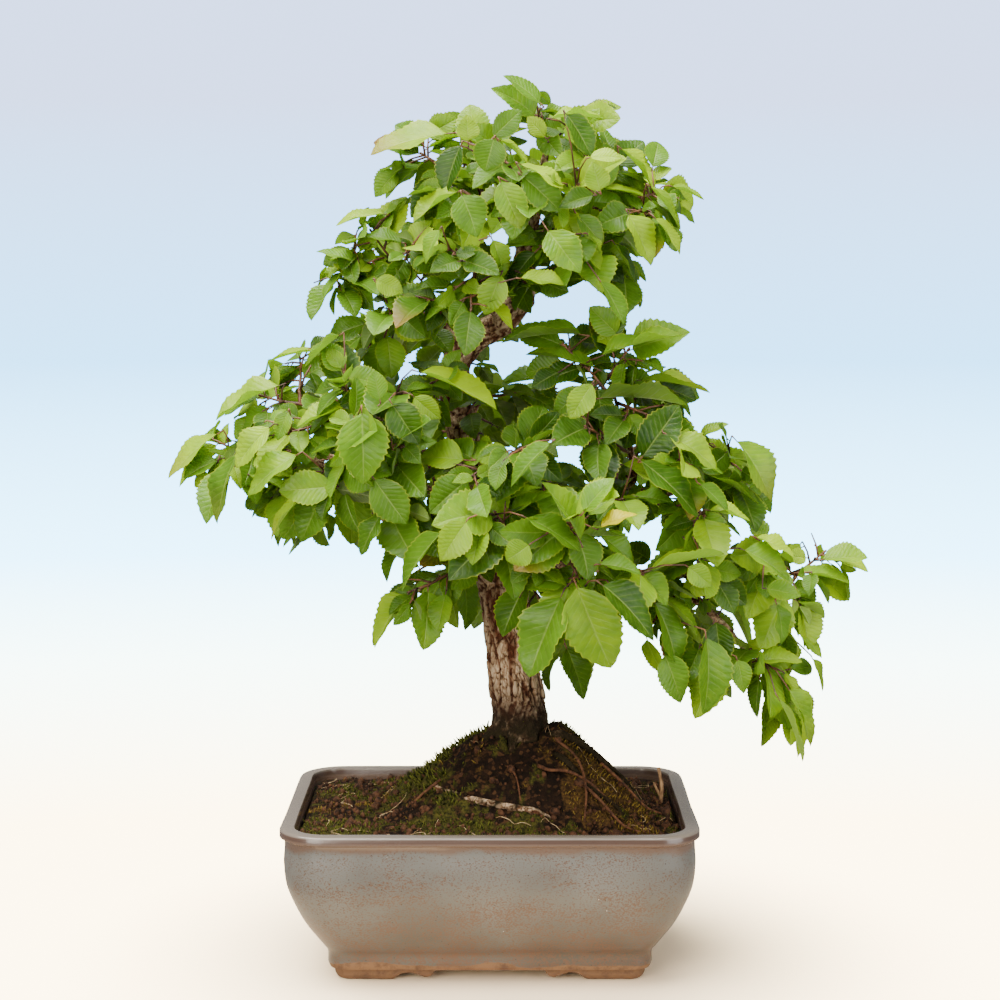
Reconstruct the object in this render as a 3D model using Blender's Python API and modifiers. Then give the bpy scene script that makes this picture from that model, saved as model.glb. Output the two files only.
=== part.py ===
"""Korean hornbeam bonsai, standing in the soil of its glazed pot. Metres, +Z up, ground at z = 0.

Lengths and places below are in millimetres, measured from a point 70 below the middle of the
pot's rim, and turn into metres where a mesh is made. The tree is one solid of wood. Each leafy
spray is a solid of its own that butts on a stub of that wood.
"""

import math
import random

import bmesh
import bpy
from mathutils import Matrix, Vector
from mathutils.bvhtree import BVHTree

MM = 0.001
GAP = 0.3
WELD = 1e-6
# The pot stands a little left of the middle of the whole tree, which is the origin, and its
# feet reach 3 below the height that the places below are measured from.
POT_PLACE = (-14.7, 7.5, 3.0)

POT_WIDTH = 189.0
POT_DEPTH = 139.0
RIM_CORNER = 21.0
CORNER_STEPS = 4
SHARPEST_CORNER = 1.5
# Half width, height and corner radius, up the outside of the pot, over the lip and down inside.
POT_PROFILE = (
    (73.2, 3.0, 9.0),
    (74.2, 5.5, 10.0),
    (74.4, 10.5, 10.5),
    (77.2, 14.4, 12.5),
    (84.1, 24.8, 16.0),
    (88.8, 34.7, 18.5),
    (91.8, 43.8, 20.0),
    (92.8, 54.0, 20.5),
    (92.4, 64.8, 20.0),
    (94.5, 66.4, RIM_CORNER),
    (94.5, 69.2, RIM_CORNER),
    (93.8, 70.0, 20.3),
    (88.3, 70.0, 15.0),
    (87.6, 67.5, 14.3),
    (87.0, 56.0, 14.0),
    (85.0, 43.0, 13.0),
    (79.0, 28.0, 11.0),
    (68.5, 12.0, 8.0),
)
INSIDE_RINGS = 4
POT_FLOOR = 12.0
FOOT_INSET = 2.2
FOOT_THICK = 8.0
# How far the feet's lower edge draws in, and at what height.
FOOT_ROUNDING = ((3.2, -3.0), (1.2, -2.1), (0.0, 0.0), (0.0, 4.5))
FOOT_CORE = (-6.0, 8.0)
# The open arch between two cloud feet, from the ground up: distance from the corner, height.
FOOT_ARCH = (
    (24.5, -5.0),
    (28.0, -1.8),
    (30.5, 0.5),
    (34.5, 1.2),
    (38.5, 0.0),
    (41.5, -1.4),
    (44.0, -1.0),
    (46.0, 1.4),
    (47.0, 6.0),
)
SIDE_FOOT_SHARE = 0.78
DRAIN_PLACE = 36.0
DRAIN_RADIUS = 7.0
DRAIN_SIDES = 12
DRAIN_REACH = (-4.0, 18.0)
SCREEN_SIDE = 20.0
SCREEN_THICK = 0.9
SCREEN_HOLES = 2

SOIL_EDGE = 65.0
MOUND_PLACE = (14.0, 0.0)
MOUND_REACH = (66.0, 50.0)
MOUND_HEIGHT = 41.0
MOUND_POWER = 1.3
HUMP_PLACE = (34.0, -2.0)
HUMP_HEIGHT = 6.0
HUMP_REACH = 13.0
SOIL_RINGS = (1.0, 0.84, 0.66, 0.46, 0.26, 0.1)
SOIL_SIDE_POINTS = (2, 1)

TRUNK_SIDES = 12
LIMB_SIDES = 6
TWIG_SIDES = 4
TRUNK_TOP_RADIUS = 3.0
TAPER_POWER = 1.25
RIBS = 4
RIB_TURN = 0.012
RIB_DEPTH = 0.05
# The ribs are this much deeper at this height, and the extra is gone this far above it.
FOOT_RIB_DEPTH = 0.08
FOOT_RIB_FROM = 90.0
FOOT_RIB_REACH = 110.0
# How much wider than the wood its room in the soil is, on each side.
ROOM = 0.4
# The trunk's middle line and radius, from under the soil to the top of the crown.
TRUNK = (
    (16, 0, 58, 12.0),
    (15, 0, 84, 15.5),
    (14, 0, 98, 14.5),
    (14, 0, 111, 12.4),
    (11, 0, 130, 11.2),
    (8, 0, 151, 10.4),
    (6, 0, 170, 11.4),
    (3, 2, 186, 12.0),
    (-4, 6, 210, 8.2),
    (-11, 10, 235, 7.4),
    (-17, 12, 259, 7.0),
    (-16, 10, 276, 6.8),
    (-7, 6, 288, 6.6),
    (6, 2, 295, 6.4),
    (15, 0, 306, 6.2),
    (16, 0, 323, 5.6),
    (19, 2, 341, 4.0),
    (23, 2, 359, 2.8),
    (26, 0, 374, 1.5),
)
# Each limb's radius at its start and end, and its middle line.
LIMBS = {
    "left_low": (5.4, 1.3, [(4, 0, 179), (-12, -4, 182), (-28, -10, 190), (-41, -14, 196),
                            (-49, -16, 208), (-63, -16, 222), (-83, -14, 234), (-102, -12, 239)]),
    "left_up": (3.0, 1.2, [(-13, 10, 245), (-28, -6, 254), (-45, -14, 251), (-64, -18, 255),
                           (-83, -18, 258)]),
    "left_front": (2.4, 1.2, [(-41, -14, 196), (-50, -32, 216), (-62, -46, 231)]),
    "upper_left": (3.4, 1.2, [(-14, 8, 282), (-23, 4, 295), (-33, -2, 307), (-45, -6, 316),
                              (-57, -8, 323)]),
    "upper_front": (2.4, 1.2, [(5, 2, 294), (-1, -20, 306), (-6, -36, 319)]),
    "crown_left": (3.2, 1.2, [(16, 0, 328), (5, -6, 344), (-9, -10, 358), (-22, -12, 366)]),
    "crown_right": (3.2, 1.2, [(17, 0, 331), (32, -6, 341), (50, -12, 347), (65, -14, 351)]),
    "crown_back": (2.4, 1.2, [(17, 0, 334), (21, 24, 350), (24, 42, 360)]),
    "front": (3.2, 1.2, [(5, 0, 182), (10, -24, 189), (18, -48, 193), (31, -62, 193)]),
    "front_up": (2.4, 1.2, [(-1, 4, 203), (3, -26, 220), (7, -46, 235)]),
    "right_mid": (4.4, 1.2, [(4, 2, 188), (26, -4, 187), (43, -10, 194), (47, -14, 208),
                             (69, -16, 213), (88, -14, 219), (102, -12, 225)]),
    "right_spur": (2.4, 1.2, [(63, -16, 213), (66, -18, 226), (63, -18, 246), (54, -18, 261)]),
    "right_low": (5.4, 1.2, [(6, 0, 177), (28, -10, 183), (52, -22, 185), (75, -28, 179),
                             (94, -28, 170), (110, -24, 155), (120, -22, 141)]),
    "right_far": (2.6, 1.2, [(75, -28, 179), (98, -22, 183), (122, -16, 173), (140, -12, 180)]),
    "back_low": (2.8, 1.2, [(2, 4, 191), (0, 30, 190), (-5, 56, 183)]),
    "back_right": (3.0, 1.2, [(3, 4, 193), (33, 30, 200), (63, 48, 207), (89, 54, 211)]),
    "back_mid": (2.6, 1.2, [(-11, 10, 240), (-10, 36, 247), (-5, 58, 256)]),
    "back_left": (3.0, 1.2, [(-5, 6, 210), (-29, 30, 214), (-59, 44, 223), (-83, 46, 231)]),
    "back_up": (2.6, 1.2, [(-15, 10, 275), (-18, 34, 286), (-25, 50, 300)]),
}
# Surface roots, which lie half in the soil, and the buttresses at the foot of the trunk.
ROOTS = {
    "front_root": (2.8, 1.6, [(8, -2, 90), (-10, -8, 86), (-26, -19, 80), (-13, -30, 78.5),
                              (4, -38, 77), (21, -41, 75), (32, -40, 68)]),
    "right_root": (2.6, 1.3, [(24, -6, 101), (33, -10, 104), (43, -8, 98.5), (52, -5, 91),
                              (62, -3, 81.5), (74, -3, 66)]),
    "low_root": (2.2, 1.1, [(22, -10, 97), (34, -20, 94.5), (46, -26, 82.5), (57, -28, 74.5),
                            (66, -28, 65)]),
    "left_root": (4.6, 2.6, [(11, 0, 112), (3, -3, 105), (-6, -6, 94)]),
    "near_root": (4.8, 2.8, [(13, -3, 112), (11.5, -9, 104.5), (10, -17, 94)]),
    "far_root": (4.6, 2.6, [(14, 3, 112), (17, 10, 104), (20, 18, 94)]),
    "behind_root": (4.2, 2.4, [(12, 3, 111), (4, 9, 104), (-4, 15, 93)]),
}
# A dead twig that stands in the soil: place and radius.
DEAD_TWIG = ((80, 6, 52, 1.2), (80.5, 6, 64, 1.2), (82, 6, 75, 1.1), (80, 6, 84, 1.0))

STUB_RADIUS = 1.15
STUB_LENGTH = 5.0
SHOOT_RADIUS = 0.85
FORK_REACH = 6.0
FORK_SUNK = 2.5
# Each leafy spray: the limb that carries it, how far along that limb, the length of its
# leaves, and the tips of its shoots.
SPRAYS = {
    "crown_top": ("trunk", 1.0, 24, [(22, -4, 388), (36, -14, 383)]),
    "crown_left_tip": ("crown_left", 1.0, 25, [(-30, -12, 371), (-17, -30, 356)]),
    "crown_left_mid": ("crown_left", 0.55, 24, [(-5, -18, 372), (-5, -40, 347)]),
    "crown_front": ("trunk", 0.93, 26, [(18, -48, 350), (6, -36, 368)]),
    "crown_front_right": ("crown_right", 0.2, 26, [(38, -46, 356), (33, -44, 333)]),
    "crown_right_tip": ("crown_right", 1.0, 25, [(75, -12, 354), (70, -24, 343)]),
    "crown_right_mid": ("crown_right", 0.6, 24, [(43, -26, 369), (57, -8, 365)]),
    "crown_low_right": ("crown_right", 0.42, 25, [(57, -6, 324), (45, -32, 327)]),
    "crown_low_front": ("trunk", 0.8, 26, [(5, -38, 321), (27, -36, 318)]),
    "crown_back_left": ("crown_back", 1.0, 24, [(6, 46, 374), (14, 66, 353)]),
    "crown_back_top": ("crown_back", 0.7, 24, [(42, 34, 378), (40, 60, 349)]),
    "crown_back_right": ("crown_right", 0.8, 24, [(71, 18, 357), (56, 38, 340)]),
    "crown_back_side": ("crown_left", 0.75, 24, [(-10, 24, 364), (-14, 40, 340)]),
    "shelf_tip": ("upper_left", 1.0, 23, [(-61, -16, 331), (-70, -18, 314)]),
    "shelf_top": ("upper_left", 0.68, 23, [(-53, -20, 336), (-34, -38, 330)]),
    "shelf_under": ("upper_left", 0.42, 24, [(-58, -2, 290), (-44, -34, 300)]),
    "shelf_front": ("upper_front", 1.0, 25, [(-17, -52, 328), (-8, -56, 303)]),
    "shelf_inner": ("upper_front", 0.5, 24, [(-26, -44, 306)]),
    "shelf_back": ("back_up", 1.0, 23, [(-40, 46, 324), (-46, 50, 294)]),
    "shelf_back_right": ("back_up", 0.5, 24, [(4, 56, 305), (-18, 66, 289)]),
    "left_tip": ("left_low", 1.0, 27, [(-123, -12, 237), (-118, -30, 230)]),
    "left_drop": ("left_low", 0.8, 26, [(-90, -24, 221), (-83, 6, 211)]),
    "left_shoulder": ("left_up", 1.0, 25, [(-104, -14, 262), (-88, 0, 278)]),
    "left_crest": ("left_up", 0.65, 25, [(-64, -40, 269), (-88, -46, 248)]),
    "left_inner": ("left_up", 0.25, 26, [(-41, -50, 265), (-23, -36, 271)]),
    "left_face": ("left_front", 1.0, 30, [(-71, -54, 226), (-60, -64, 248)]),
    "left_face_inner": ("left_front", 0.5, 27, [(-40, -58, 242), (-44, -56, 214)]),
    "left_under": ("left_low", 0.38, 27, [(-30, -46, 207)]),
    "left_back": ("back_left", 1.0, 25, [(-100, 50, 240), (-94, 44, 217)]),
    "left_back_mid": ("back_left", 0.65, 25, [(-70, 58, 248), (-62, 62, 205)]),
    "left_back_inner": ("back_left", 0.3, 25, [(-34, 58, 236), (-43, 40, 260)]),
    "front_left": ("front", 0.35, 28, [(-35, -48, 177), (-13, -46, 206)]),
    "front_low": ("front", 0.75, 32, [(21, -62, 177), (3, -70, 214)]),
    "front_tip": ("front", 1.0, 32, [(41, -71, 182), (35, -80, 213)]),
    "front_face": ("front_up", 1.0, 27, [(-8, -66, 230), (14, -66, 242)]),
    "front_face_side": ("front_up", 0.5, 26, [(25, -54, 225)]),
    "spur_tip": ("right_spur", 1.0, 26, [(62, -26, 283), (73, -12, 270)]),
    "spur_side": ("right_spur", 0.8, 26, [(34, -28, 285), (75, -36, 253)]),
    "spur_low": ("right_spur", 0.45, 26, [(43, -46, 250)]),
    "right_crest": ("right_mid", 1.0, 26, [(109, -22, 234), (112, -22, 223)]),
    "right_face": ("right_mid", 0.8, 26, [(85, -50, 236), (95, -46, 211)]),
    "right_inner": ("right_mid", 0.5, 26, [(58, -56, 219)]),
    "right_back": ("back_right", 1.0, 25, [(107, 56, 222), (99, 66, 195)]),
    "right_back_mid": ("back_right", 0.6, 25, [(74, 54, 237), (55, 72, 209)]),
    "low_tip": ("right_low", 1.0, 28, [(136, -22, 124), (124, -37, 143)]),
    "low_mid": ("right_low", 0.8, 27, [(99, -46, 150)]),
    "low_face": ("right_low", 0.5, 28, [(78, -52, 164), (66, -68, 189)]),
    "low_top": ("right_far", 0.3, 26, [(93, -54, 194)]),
    "far_tip": ("right_far", 1.0, 26, [(154, -10, 189), (134, -30, 174)]),
    "far_mid": ("right_far", 0.7, 27, [(138, -8, 150), (124, -32, 193)]),
    "far_back": ("right_far", 0.4, 26, [(122, 24, 177), (101, 32, 155)]),
    "back_low_left": ("back_low", 1.0, 27, [(-26, 64, 160), (6, 78, 157)]),
    "back_low_right": ("back_low", 0.5, 27, [(39, 44, 143)]),
    "back_mid": ("back_mid", 1.0, 26, [(6, 76, 256), (-18, 78, 230), (31, 62, 261)]),
}
# Leaves turn their faces up and away from the canopy's middle, most of all to front and back.
CANOPY_HEART = (8.0, 14.0)
FACE_SIDE = 1.0 / 220.0
FACE_FRONT = 1.0 / 34.0
FACE_MOST = 0.75
FACE_UP = 0.72

LEAF_THICK = 0.7
LEAVES_ON_SHOOT = 2
LEAF_SUNK = 0.35
LEAF_SPACING = 8.5
FURTHEST_BACK = 0.9
LEAF_SPREAD = 56.0
LEAF_FOLD = 0.36
LEAF_CURL = 0.22
# Half of a leaf's edge: how far along the leaf, and how far out as a share of its width. The
# larger leaves show their teeth.
LEAF_EDGE = ((0.2, 0.42), (0.54, 0.5))
TOOTHED_EDGE = ((0.3, 0.5), (0.42, 0.42), (0.62, 0.43))
TOOTHED_FROM = 30.0
# Each leaf is drawn from these ranges: size and width as shares, angles in degrees, and droop
# as a share of the leaf's own heading.
LEAF_SIZES = (0.88, 1.14)
LEAF_WIDE = (0.58, 0.68)
LEAF_STRAY = (-16.0, 16.0)
LEAF_ROLL = (-32.0, 32.0)
LEAF_SAG = (-0.15, 0.2)
# Leaves droop this much at this height, and more and more below it.
DROOP = 0.12
DROOP_BELOW = 360.0
DROOP_MORE = 0.003
MOST_DROOP = 0.72
# A leaf that would touch another one is tried again, straying further and shrinking a little.
TRIES = 24
TRIES_TO_DOUBLE = 8.0
LAST_SHRINK = 0.15
TEST_THICK = 1.4
TEST_LARGER = 1.04

COLOURS = {
    "glaze": (0.30, 0.32, 0.30, 0.35),
    "soil": (0.05, 0.025, 0.012, 0.95),
    "bark": (0.42, 0.32, 0.22, 0.85),
    "leaf": (0.10, 0.26, 0.03, 0.45),
    "young_leaf": (0.28, 0.45, 0.05, 0.45),
    "plastic": (0.02, 0.02, 0.02, 0.5),
}


def clear_scene():
    for item in list(bpy.data.objects):
        bpy.data.objects.remove(item, do_unlink=True)


def new_collection(name):
    made = bpy.data.collections.new(name)
    bpy.context.scene.collection.children.link(made)
    return made


def make_materials():
    made = {}
    for name, (red, green, blue, rough) in COLOURS.items():
        material = bpy.data.materials.new(name)
        material.use_nodes = True
        shader = material.node_tree.nodes["Principled BSDF"]
        shader.inputs["Base Color"].default_value = (red, green, blue, 1.0)
        shader.inputs["Roughness"].default_value = rough
        made[name] = material
    return made


def add_object(name, mesh, collection, material=None):
    made = bpy.data.objects.new(name, mesh)
    collection.objects.link(made)
    if material:
        mesh.materials.clear()
        mesh.materials.append(material)
    return made


def mesh_from(bm, name):
    bmesh.ops.recalc_face_normals(bm, faces=bm.faces)
    mesh = bpy.data.meshes.new(name)
    bm.to_mesh(mesh)
    bm.free()
    return mesh


def place(point):
    return Vector(point) * MM


def as_mesh(curve, name, collection):
    """The curve as a closed mesh object, with its loose caps welded."""
    guide = add_object(name + "_curve", curve, collection)
    bpy.context.view_layer.update()
    graph = bpy.context.evaluated_depsgraph_get()
    mesh = bpy.data.meshes.new_from_object(guide.evaluated_get(graph))
    bpy.data.objects.remove(guide, do_unlink=True)
    bpy.data.curves.remove(curve)
    bm = bmesh.new()
    bm.from_mesh(mesh)
    bmesh.ops.remove_doubles(bm, verts=bm.verts, dist=WELD)
    bmesh.ops.recalc_face_normals(bm, faces=bm.faces)
    bm.to_mesh(mesh)
    bm.free()
    return add_object(name, mesh, collection)


def tube(name, points, radii, collection, sides=LIMB_SIDES):
    """A mesh tube along the points, with flat ends and an even number of sides."""
    curve = bpy.data.curves.new(name, "CURVE")
    curve.dimensions = "3D"
    curve.bevel_depth = MM
    curve.bevel_resolution = sides // 2 - 2
    curve.use_fill_caps = True
    spline = curve.splines.new("POLY")
    spline.points.add(len(points) - 1)
    for knot, point, radius in zip(spline.points, points, radii):
        knot.co = (*place(point), 1.0)
        knot.radius = radius
    return as_mesh(curve, name, collection)


def apply_modifiers(item):
    bpy.context.view_layer.update()
    graph = bpy.context.evaluated_depsgraph_get()
    old = item.data
    item.data = bpy.data.meshes.new_from_object(item.evaluated_get(graph))
    item.modifiers.clear()
    bpy.data.meshes.remove(old)


def combine(item, others, operation):
    """Joins the others to the item, or cuts them from it, and removes them."""
    if operation == "DIFFERENCE" and len(others) > 1:
        first, *rest = others
        combine(first, rest, "UNION")
        others = [first]
    tools = new_collection(item.name + "_tools")
    for other in others:
        for owner in list(other.users_collection):
            owner.objects.unlink(other)
        tools.objects.link(other)
    boolean = item.modifiers.new(operation.lower(), "BOOLEAN")
    boolean.operation = operation
    boolean.operand_type = "COLLECTION"
    boolean.collection = tools
    boolean.solver = "EXACT"
    apply_modifiers(item)
    for other in list(tools.objects):
        bpy.data.objects.remove(other, do_unlink=True)
    bpy.data.collections.remove(tools)


def along(route, share):
    """The point that lies this share of the way along the route, and the direction there."""
    points = [Vector(point[:3]) for point in route]
    spans = [(b - a).length for a, b in zip(points, points[1:])]
    left = share * sum(spans)
    for a, b, span in zip(points, points[1:], spans):
        if left <= span + 1e-6:
            return a.lerp(b, min(1.0, left / span)), (b - a).normalized()
        left -= span
    return points[-1], (points[-1] - points[-2]).normalized()


def taper(start, end, share):
    """A radius that shrinks quickly at first and then slowly, as a limb's does."""
    return end + (start - end) * (1.0 - share) ** TAPER_POWER


def tapered(start, end, points):
    last = len(points) - 1
    return [taper(start, end, i / last) for i in range(last + 1)]


def limb_radius(limb, share):
    if limb == "trunk":
        return TRUNK_TOP_RADIUS
    start, end, _ = LIMBS[limb]
    return taper(start, end, share)


def rounded_ring(half_width, half_depth, corner, steps, side_points=(0, 0)):
    """Points round a rectangle with round corners, anticlockwise from above."""
    ring = []
    for quarter, (side_x, side_y) in enumerate(((1, 1), (-1, 1), (-1, -1), (1, -1))):
        middle_x = side_x * (half_width - corner)
        middle_y = side_y * (half_depth - corner)
        for step in range(steps + 1):
            angle = math.radians(90.0 * (quarter + step / steps))
            ring.append((middle_x + corner * math.cos(angle), middle_y + corner * math.sin(angle)))
        count = side_points[quarter % 2]
        x, y = ring[-1]
        for number in range(1, count + 1):
            share = 1.0 - 2.0 * number / (count + 1)
            ring.append((x * share, y) if quarter % 2 == 0 else (x, y * share))
    return ring


def loft(name, rings):
    """A closed solid through rings of equal length. The first and the last are filled."""
    bm = bmesh.new()
    made = [[bm.verts.new(place(point)) for point in ring] for ring in rings]
    for low, high in zip(made, made[1:]):
        for i in range(len(low)):
            j = (i + 1) % len(low)
            bm.faces.new((low[i], low[j], high[j], high[i]))
    bm.faces.new(made[0][::-1])
    bm.faces.new(made[-1])
    return mesh_from(bm, name)


def pot_ring(half_width, height, corner, steps, inset=0.0, side_points=(0, 0)):
    half_depth = half_width - (POT_WIDTH - POT_DEPTH) / 2
    corner = max(SHARPEST_CORNER, corner - inset)
    flat = rounded_ring(half_width - inset, half_depth - inset, corner, steps, side_points)
    return [(x, y, height) for x, y in flat]


def arch_cutter(name, reach, share, turn, collection):
    """The arch between the feet under one pair of the pot's edges, as a bar right through it."""
    curve = bpy.data.curves.new(name, "CURVE")
    curve.dimensions = "2D"
    curve.fill_mode = "BOTH"
    curve.extrude = POT_WIDTH * MM
    right = [(reach - inward * share, height) for inward, height in FOOT_ARCH]
    outline = right + [(-x, height) for x, height in reversed(right)]
    spline = curve.splines.new("POLY")
    spline.points.add(len(outline) - 1)
    spline.use_cyclic_u = True
    for knot, (x, height) in zip(spline.points, outline):
        knot.co = (x * MM, height * MM, 0.0, 1.0)
    cutter = as_mesh(curve, name, collection)
    upright = Matrix.Rotation(math.radians(90), 4, "X")
    cutter.data.transform(Matrix.Rotation(math.radians(turn), 4, "Z") @ upright)
    return cutter


def pot_feet(collection):
    """A low skirt that follows the base's corners, cut by the arches into four cloud feet."""
    half_width = POT_PROFILE[0][0] - FOOT_INSET
    half_depth = half_width - (POT_WIDTH - POT_DEPTH) / 2
    corner = POT_PROFILE[0][2] - FOOT_INSET
    skirt = [pot_ring(half_width, height, corner, CORNER_STEPS, inset)
             for inset, height in FOOT_ROUNDING]
    feet = add_object("feet", loft("feet", skirt), collection)
    core = [pot_ring(half_width, height, corner, CORNER_STEPS, FOOT_THICK)
            for height in FOOT_CORE]
    cutters = [
        add_object("foot_core", loft("foot_core", core), collection),
        arch_cutter("long_arch", half_width, 1.0, 0, collection),
        arch_cutter("short_arch", half_depth, SIDE_FOOT_SHARE, 90, collection),
    ]
    combine(feet, cutters, "DIFFERENCE")
    return feet


def make_pot(collection, material):
    rings = [pot_ring(*row, CORNER_STEPS) for row in POT_PROFILE]
    pot = add_object("pot", loft("pot", rings), collection)
    combine(pot, [pot_feet(collection)], "UNION")
    drains = []
    low, high = DRAIN_REACH
    for side in (1, -1):
        bm = bmesh.new()
        at = Matrix.Translation(place((side * DRAIN_PLACE, 0, (low + high) / 2)))
        bmesh.ops.create_cone(bm, cap_ends=True, segments=DRAIN_SIDES, radius1=DRAIN_RADIUS * MM,
                              radius2=DRAIN_RADIUS * MM, depth=(high - low) * MM, matrix=at)
        drains.append(add_object("drain", mesh_from(bm, "drain"), collection))
    combine(pot, drains, "DIFFERENCE")
    pot.data.materials.clear()
    pot.data.materials.append(material)
    return pot


def make_screen(name, side, collection, material):
    """The plastic mesh over a drainage hole, lying on the pot's floor."""
    cells = 2 * SCREEN_HOLES + 1
    bm = bmesh.new()
    bmesh.ops.create_grid(bm, x_segments=cells, y_segments=cells, size=SCREEN_SIDE / 2 * MM)
    cell = SCREEN_SIDE / cells * MM
    holes = []
    for face in bm.faces:
        column, row = (round(value / cell) % 2 for value in face.calc_center_median().xy)
        if column != SCREEN_HOLES % 2 and row != SCREEN_HOLES % 2:
            holes.append(face)
    bmesh.ops.delete(bm, geom=holes, context="FACES")
    bmesh.ops.translate(bm, verts=bm.verts, vec=place((side * DRAIN_PLACE, 0, POT_FLOOR + GAP)))
    screen = add_object(name, mesh_from(bm, name), collection, material)
    wall = screen.modifiers.new("wall", "SOLIDIFY")
    wall.thickness = SCREEN_THICK * MM
    wall.offset = 1.0
    apply_modifiers(screen)
    lowest = min(vertex.co.z for vertex in screen.data.vertices)
    screen.data.transform(Matrix.Translation((0, 0, (POT_FLOOR + GAP) * MM - lowest)))
    return screen


def soil_height(x, y):
    """The mound that the tree stands on, with the hump of roots to its right."""
    away = math.hypot((x - MOUND_PLACE[0]) / MOUND_REACH[0], (y - MOUND_PLACE[1]) / MOUND_REACH[1])
    mound = MOUND_HEIGHT * max(0.0, 1.0 - away * away) ** MOUND_POWER
    hump = math.hypot(x - HUMP_PLACE[0], y - HUMP_PLACE[1]) / HUMP_REACH
    return SOIL_EDGE + mound + HUMP_HEIGHT * math.exp(-hump * hump)


def make_soil(collection, material, roots):
    rings = []
    for half_width, height, corner in reversed(POT_PROFILE[-INSIDE_RINGS:]):
        if height == POT_FLOOR:
            height += GAP
        rings.append(pot_ring(half_width, height, corner, CORNER_STEPS, GAP, SOIL_SIDE_POINTS))
    half_width, _, corner = POT_PROFILE[-INSIDE_RINGS]
    edge = pot_ring(half_width, SOIL_EDGE, corner, CORNER_STEPS, GAP, SOIL_SIDE_POINTS)
    for share in SOIL_RINGS:
        ring = []
        for x, y, _ in edge:
            x = MOUND_PLACE[0] * (1.0 - share) + x * share
            y = y * share
            ring.append((x, y, soil_height(x, y)))
        rings.append(ring)
    soil = add_object("soil", loft("soil", rings), collection)
    for side in (1, -1):
        bm = bmesh.new()
        bmesh.ops.create_cube(bm, size=1.0)
        room = SCREEN_SIDE + 2 * GAP
        bmesh.ops.scale(bm, verts=bm.verts, vec=place((room, room, 2 * (SCREEN_THICK + 2 * GAP))))
        bmesh.ops.translate(bm, verts=bm.verts, vec=place((side * DRAIN_PLACE, 0, POT_FLOOR + GAP)))
        roots.append(add_object("screen_room", mesh_from(bm, "screen_room"), collection))
    combine(soil, roots, "DIFFERENCE")
    soil.data.materials.clear()
    soil.data.materials.append(material)
    return soil


def nearest_row(point):
    return min(TRUNK, key=lambda row: (Vector(row[:3]) - point).length)


def flute(trunk):
    """Raises long, slowly turning ribs on the trunk, deepest at its foot."""
    for vertex in trunk.data.vertices:
        point = vertex.co / MM
        row = nearest_row(point)
        out = Vector((point.x - row[0], point.y - row[1], 0.0))
        if row is TRUNK[0]:
            continue
        angle = math.atan2(out.y, out.x) + row[2] * RIB_TURN
        above = (row[2] - FOOT_RIB_FROM) / FOOT_RIB_REACH
        depth = RIB_DEPTH + FOOT_RIB_DEPTH * max(0.0, 1.0 - above)
        vertex.co = (point + out * depth * math.cos(RIBS * angle)) * MM
    bm = bmesh.new()
    bm.from_mesh(trunk.data)
    bmesh.ops.triangulate(bm, faces=bm.faces)
    bm.to_mesh(trunk.data)
    bm.free()


def room_for(trunk, collection):
    """The trunk again, a little larger, to cut its hole in the soil."""
    mesh = trunk.data.copy()
    for vertex in mesh.vertices:
        point = vertex.co / MM
        row = nearest_row(point)
        out = Vector((point.x - row[0], point.y - row[1], 0.0)).normalized()
        down = Vector((0.0, 0.0, 1.0 if row is TRUNK[0] else 0.0))
        vertex.co += (out * ROOM - down) * MM
    return add_object("trunk_room", mesh, collection)


def underground(name, points, radii, collection):
    """A root as wood, and again a little larger to cut its room in the soil."""
    wood = tube(name, points, radii, collection)
    room = tube(name + "_room", points, [radius + ROOM for radius in radii], collection)
    return wood, room


def stem_start(spray):
    """Where a spray's stub starts and ends, which way it points, and where the spray forks."""
    limb, share, _, tips = SPRAYS[spray]
    route = TRUNK if limb == "trunk" else LIMBS[limb][2]
    start, heading = along(route, share)
    seat = start
    if share < 1.0:
        middle = sum((Vector(tip) for tip in tips), Vector()) / len(tips)
        heading = (middle - start).normalized()
        seat = start + heading * (limb_radius(limb, share) + STUB_LENGTH)
    return start, seat, heading, seat + heading * FORK_REACH


def make_tree(collection, material):
    """The trunk, its limbs, its roots and the stubs that carry the sprays, as one solid."""
    points = [row[:3] for row in TRUNK]
    trunk = tube("trunk", points, [row[3] for row in TRUNK], collection, TRUNK_SIDES)
    flute(trunk)
    rooms = [room_for(trunk, collection)]
    pieces = []
    for name, (start, end, points) in LIMBS.items():
        pieces.append(tube(name, points, tapered(start, end, points), collection))
    for name, (start, end, points) in ROOTS.items():
        radii = tapered(start, end, points)
        wood, room = underground(name, points, radii, collection)
        pieces.append(wood)
        rooms.append(room)
    for name, (_, share, _, _) in SPRAYS.items():
        start, seat, _, _ = stem_start(name)
        if share < 1.0:
            ends = (start, seat)
            pieces.append(tube(name + "_stub", ends, (STUB_RADIUS,) * 2, collection, TWIG_SIDES))
    combine(trunk, pieces, "UNION")
    trunk.data.materials.clear()
    trunk.data.materials.append(material)
    return trunk, rooms


def make_dead_twig(collection, material):
    points = [row[:3] for row in DEAD_TWIG]
    twig, room = underground("dead_twig", points, [row[3] for row in DEAD_TWIG], collection)
    twig.data.materials.append(material)
    return twig, room


def leaf_outline(length, width):
    """The outline, from the root up one side to the tip and back down the other."""
    edge = TOOTHED_EDGE if length >= TOOTHED_FROM else LEAF_EDGE
    right = [(u * length, w * width) for u, w in edge]
    left = [(u, -w) for u, w in reversed(right)]
    return [(0.0, 0.0)] + right + [(length, 0.0)] + left


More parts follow.
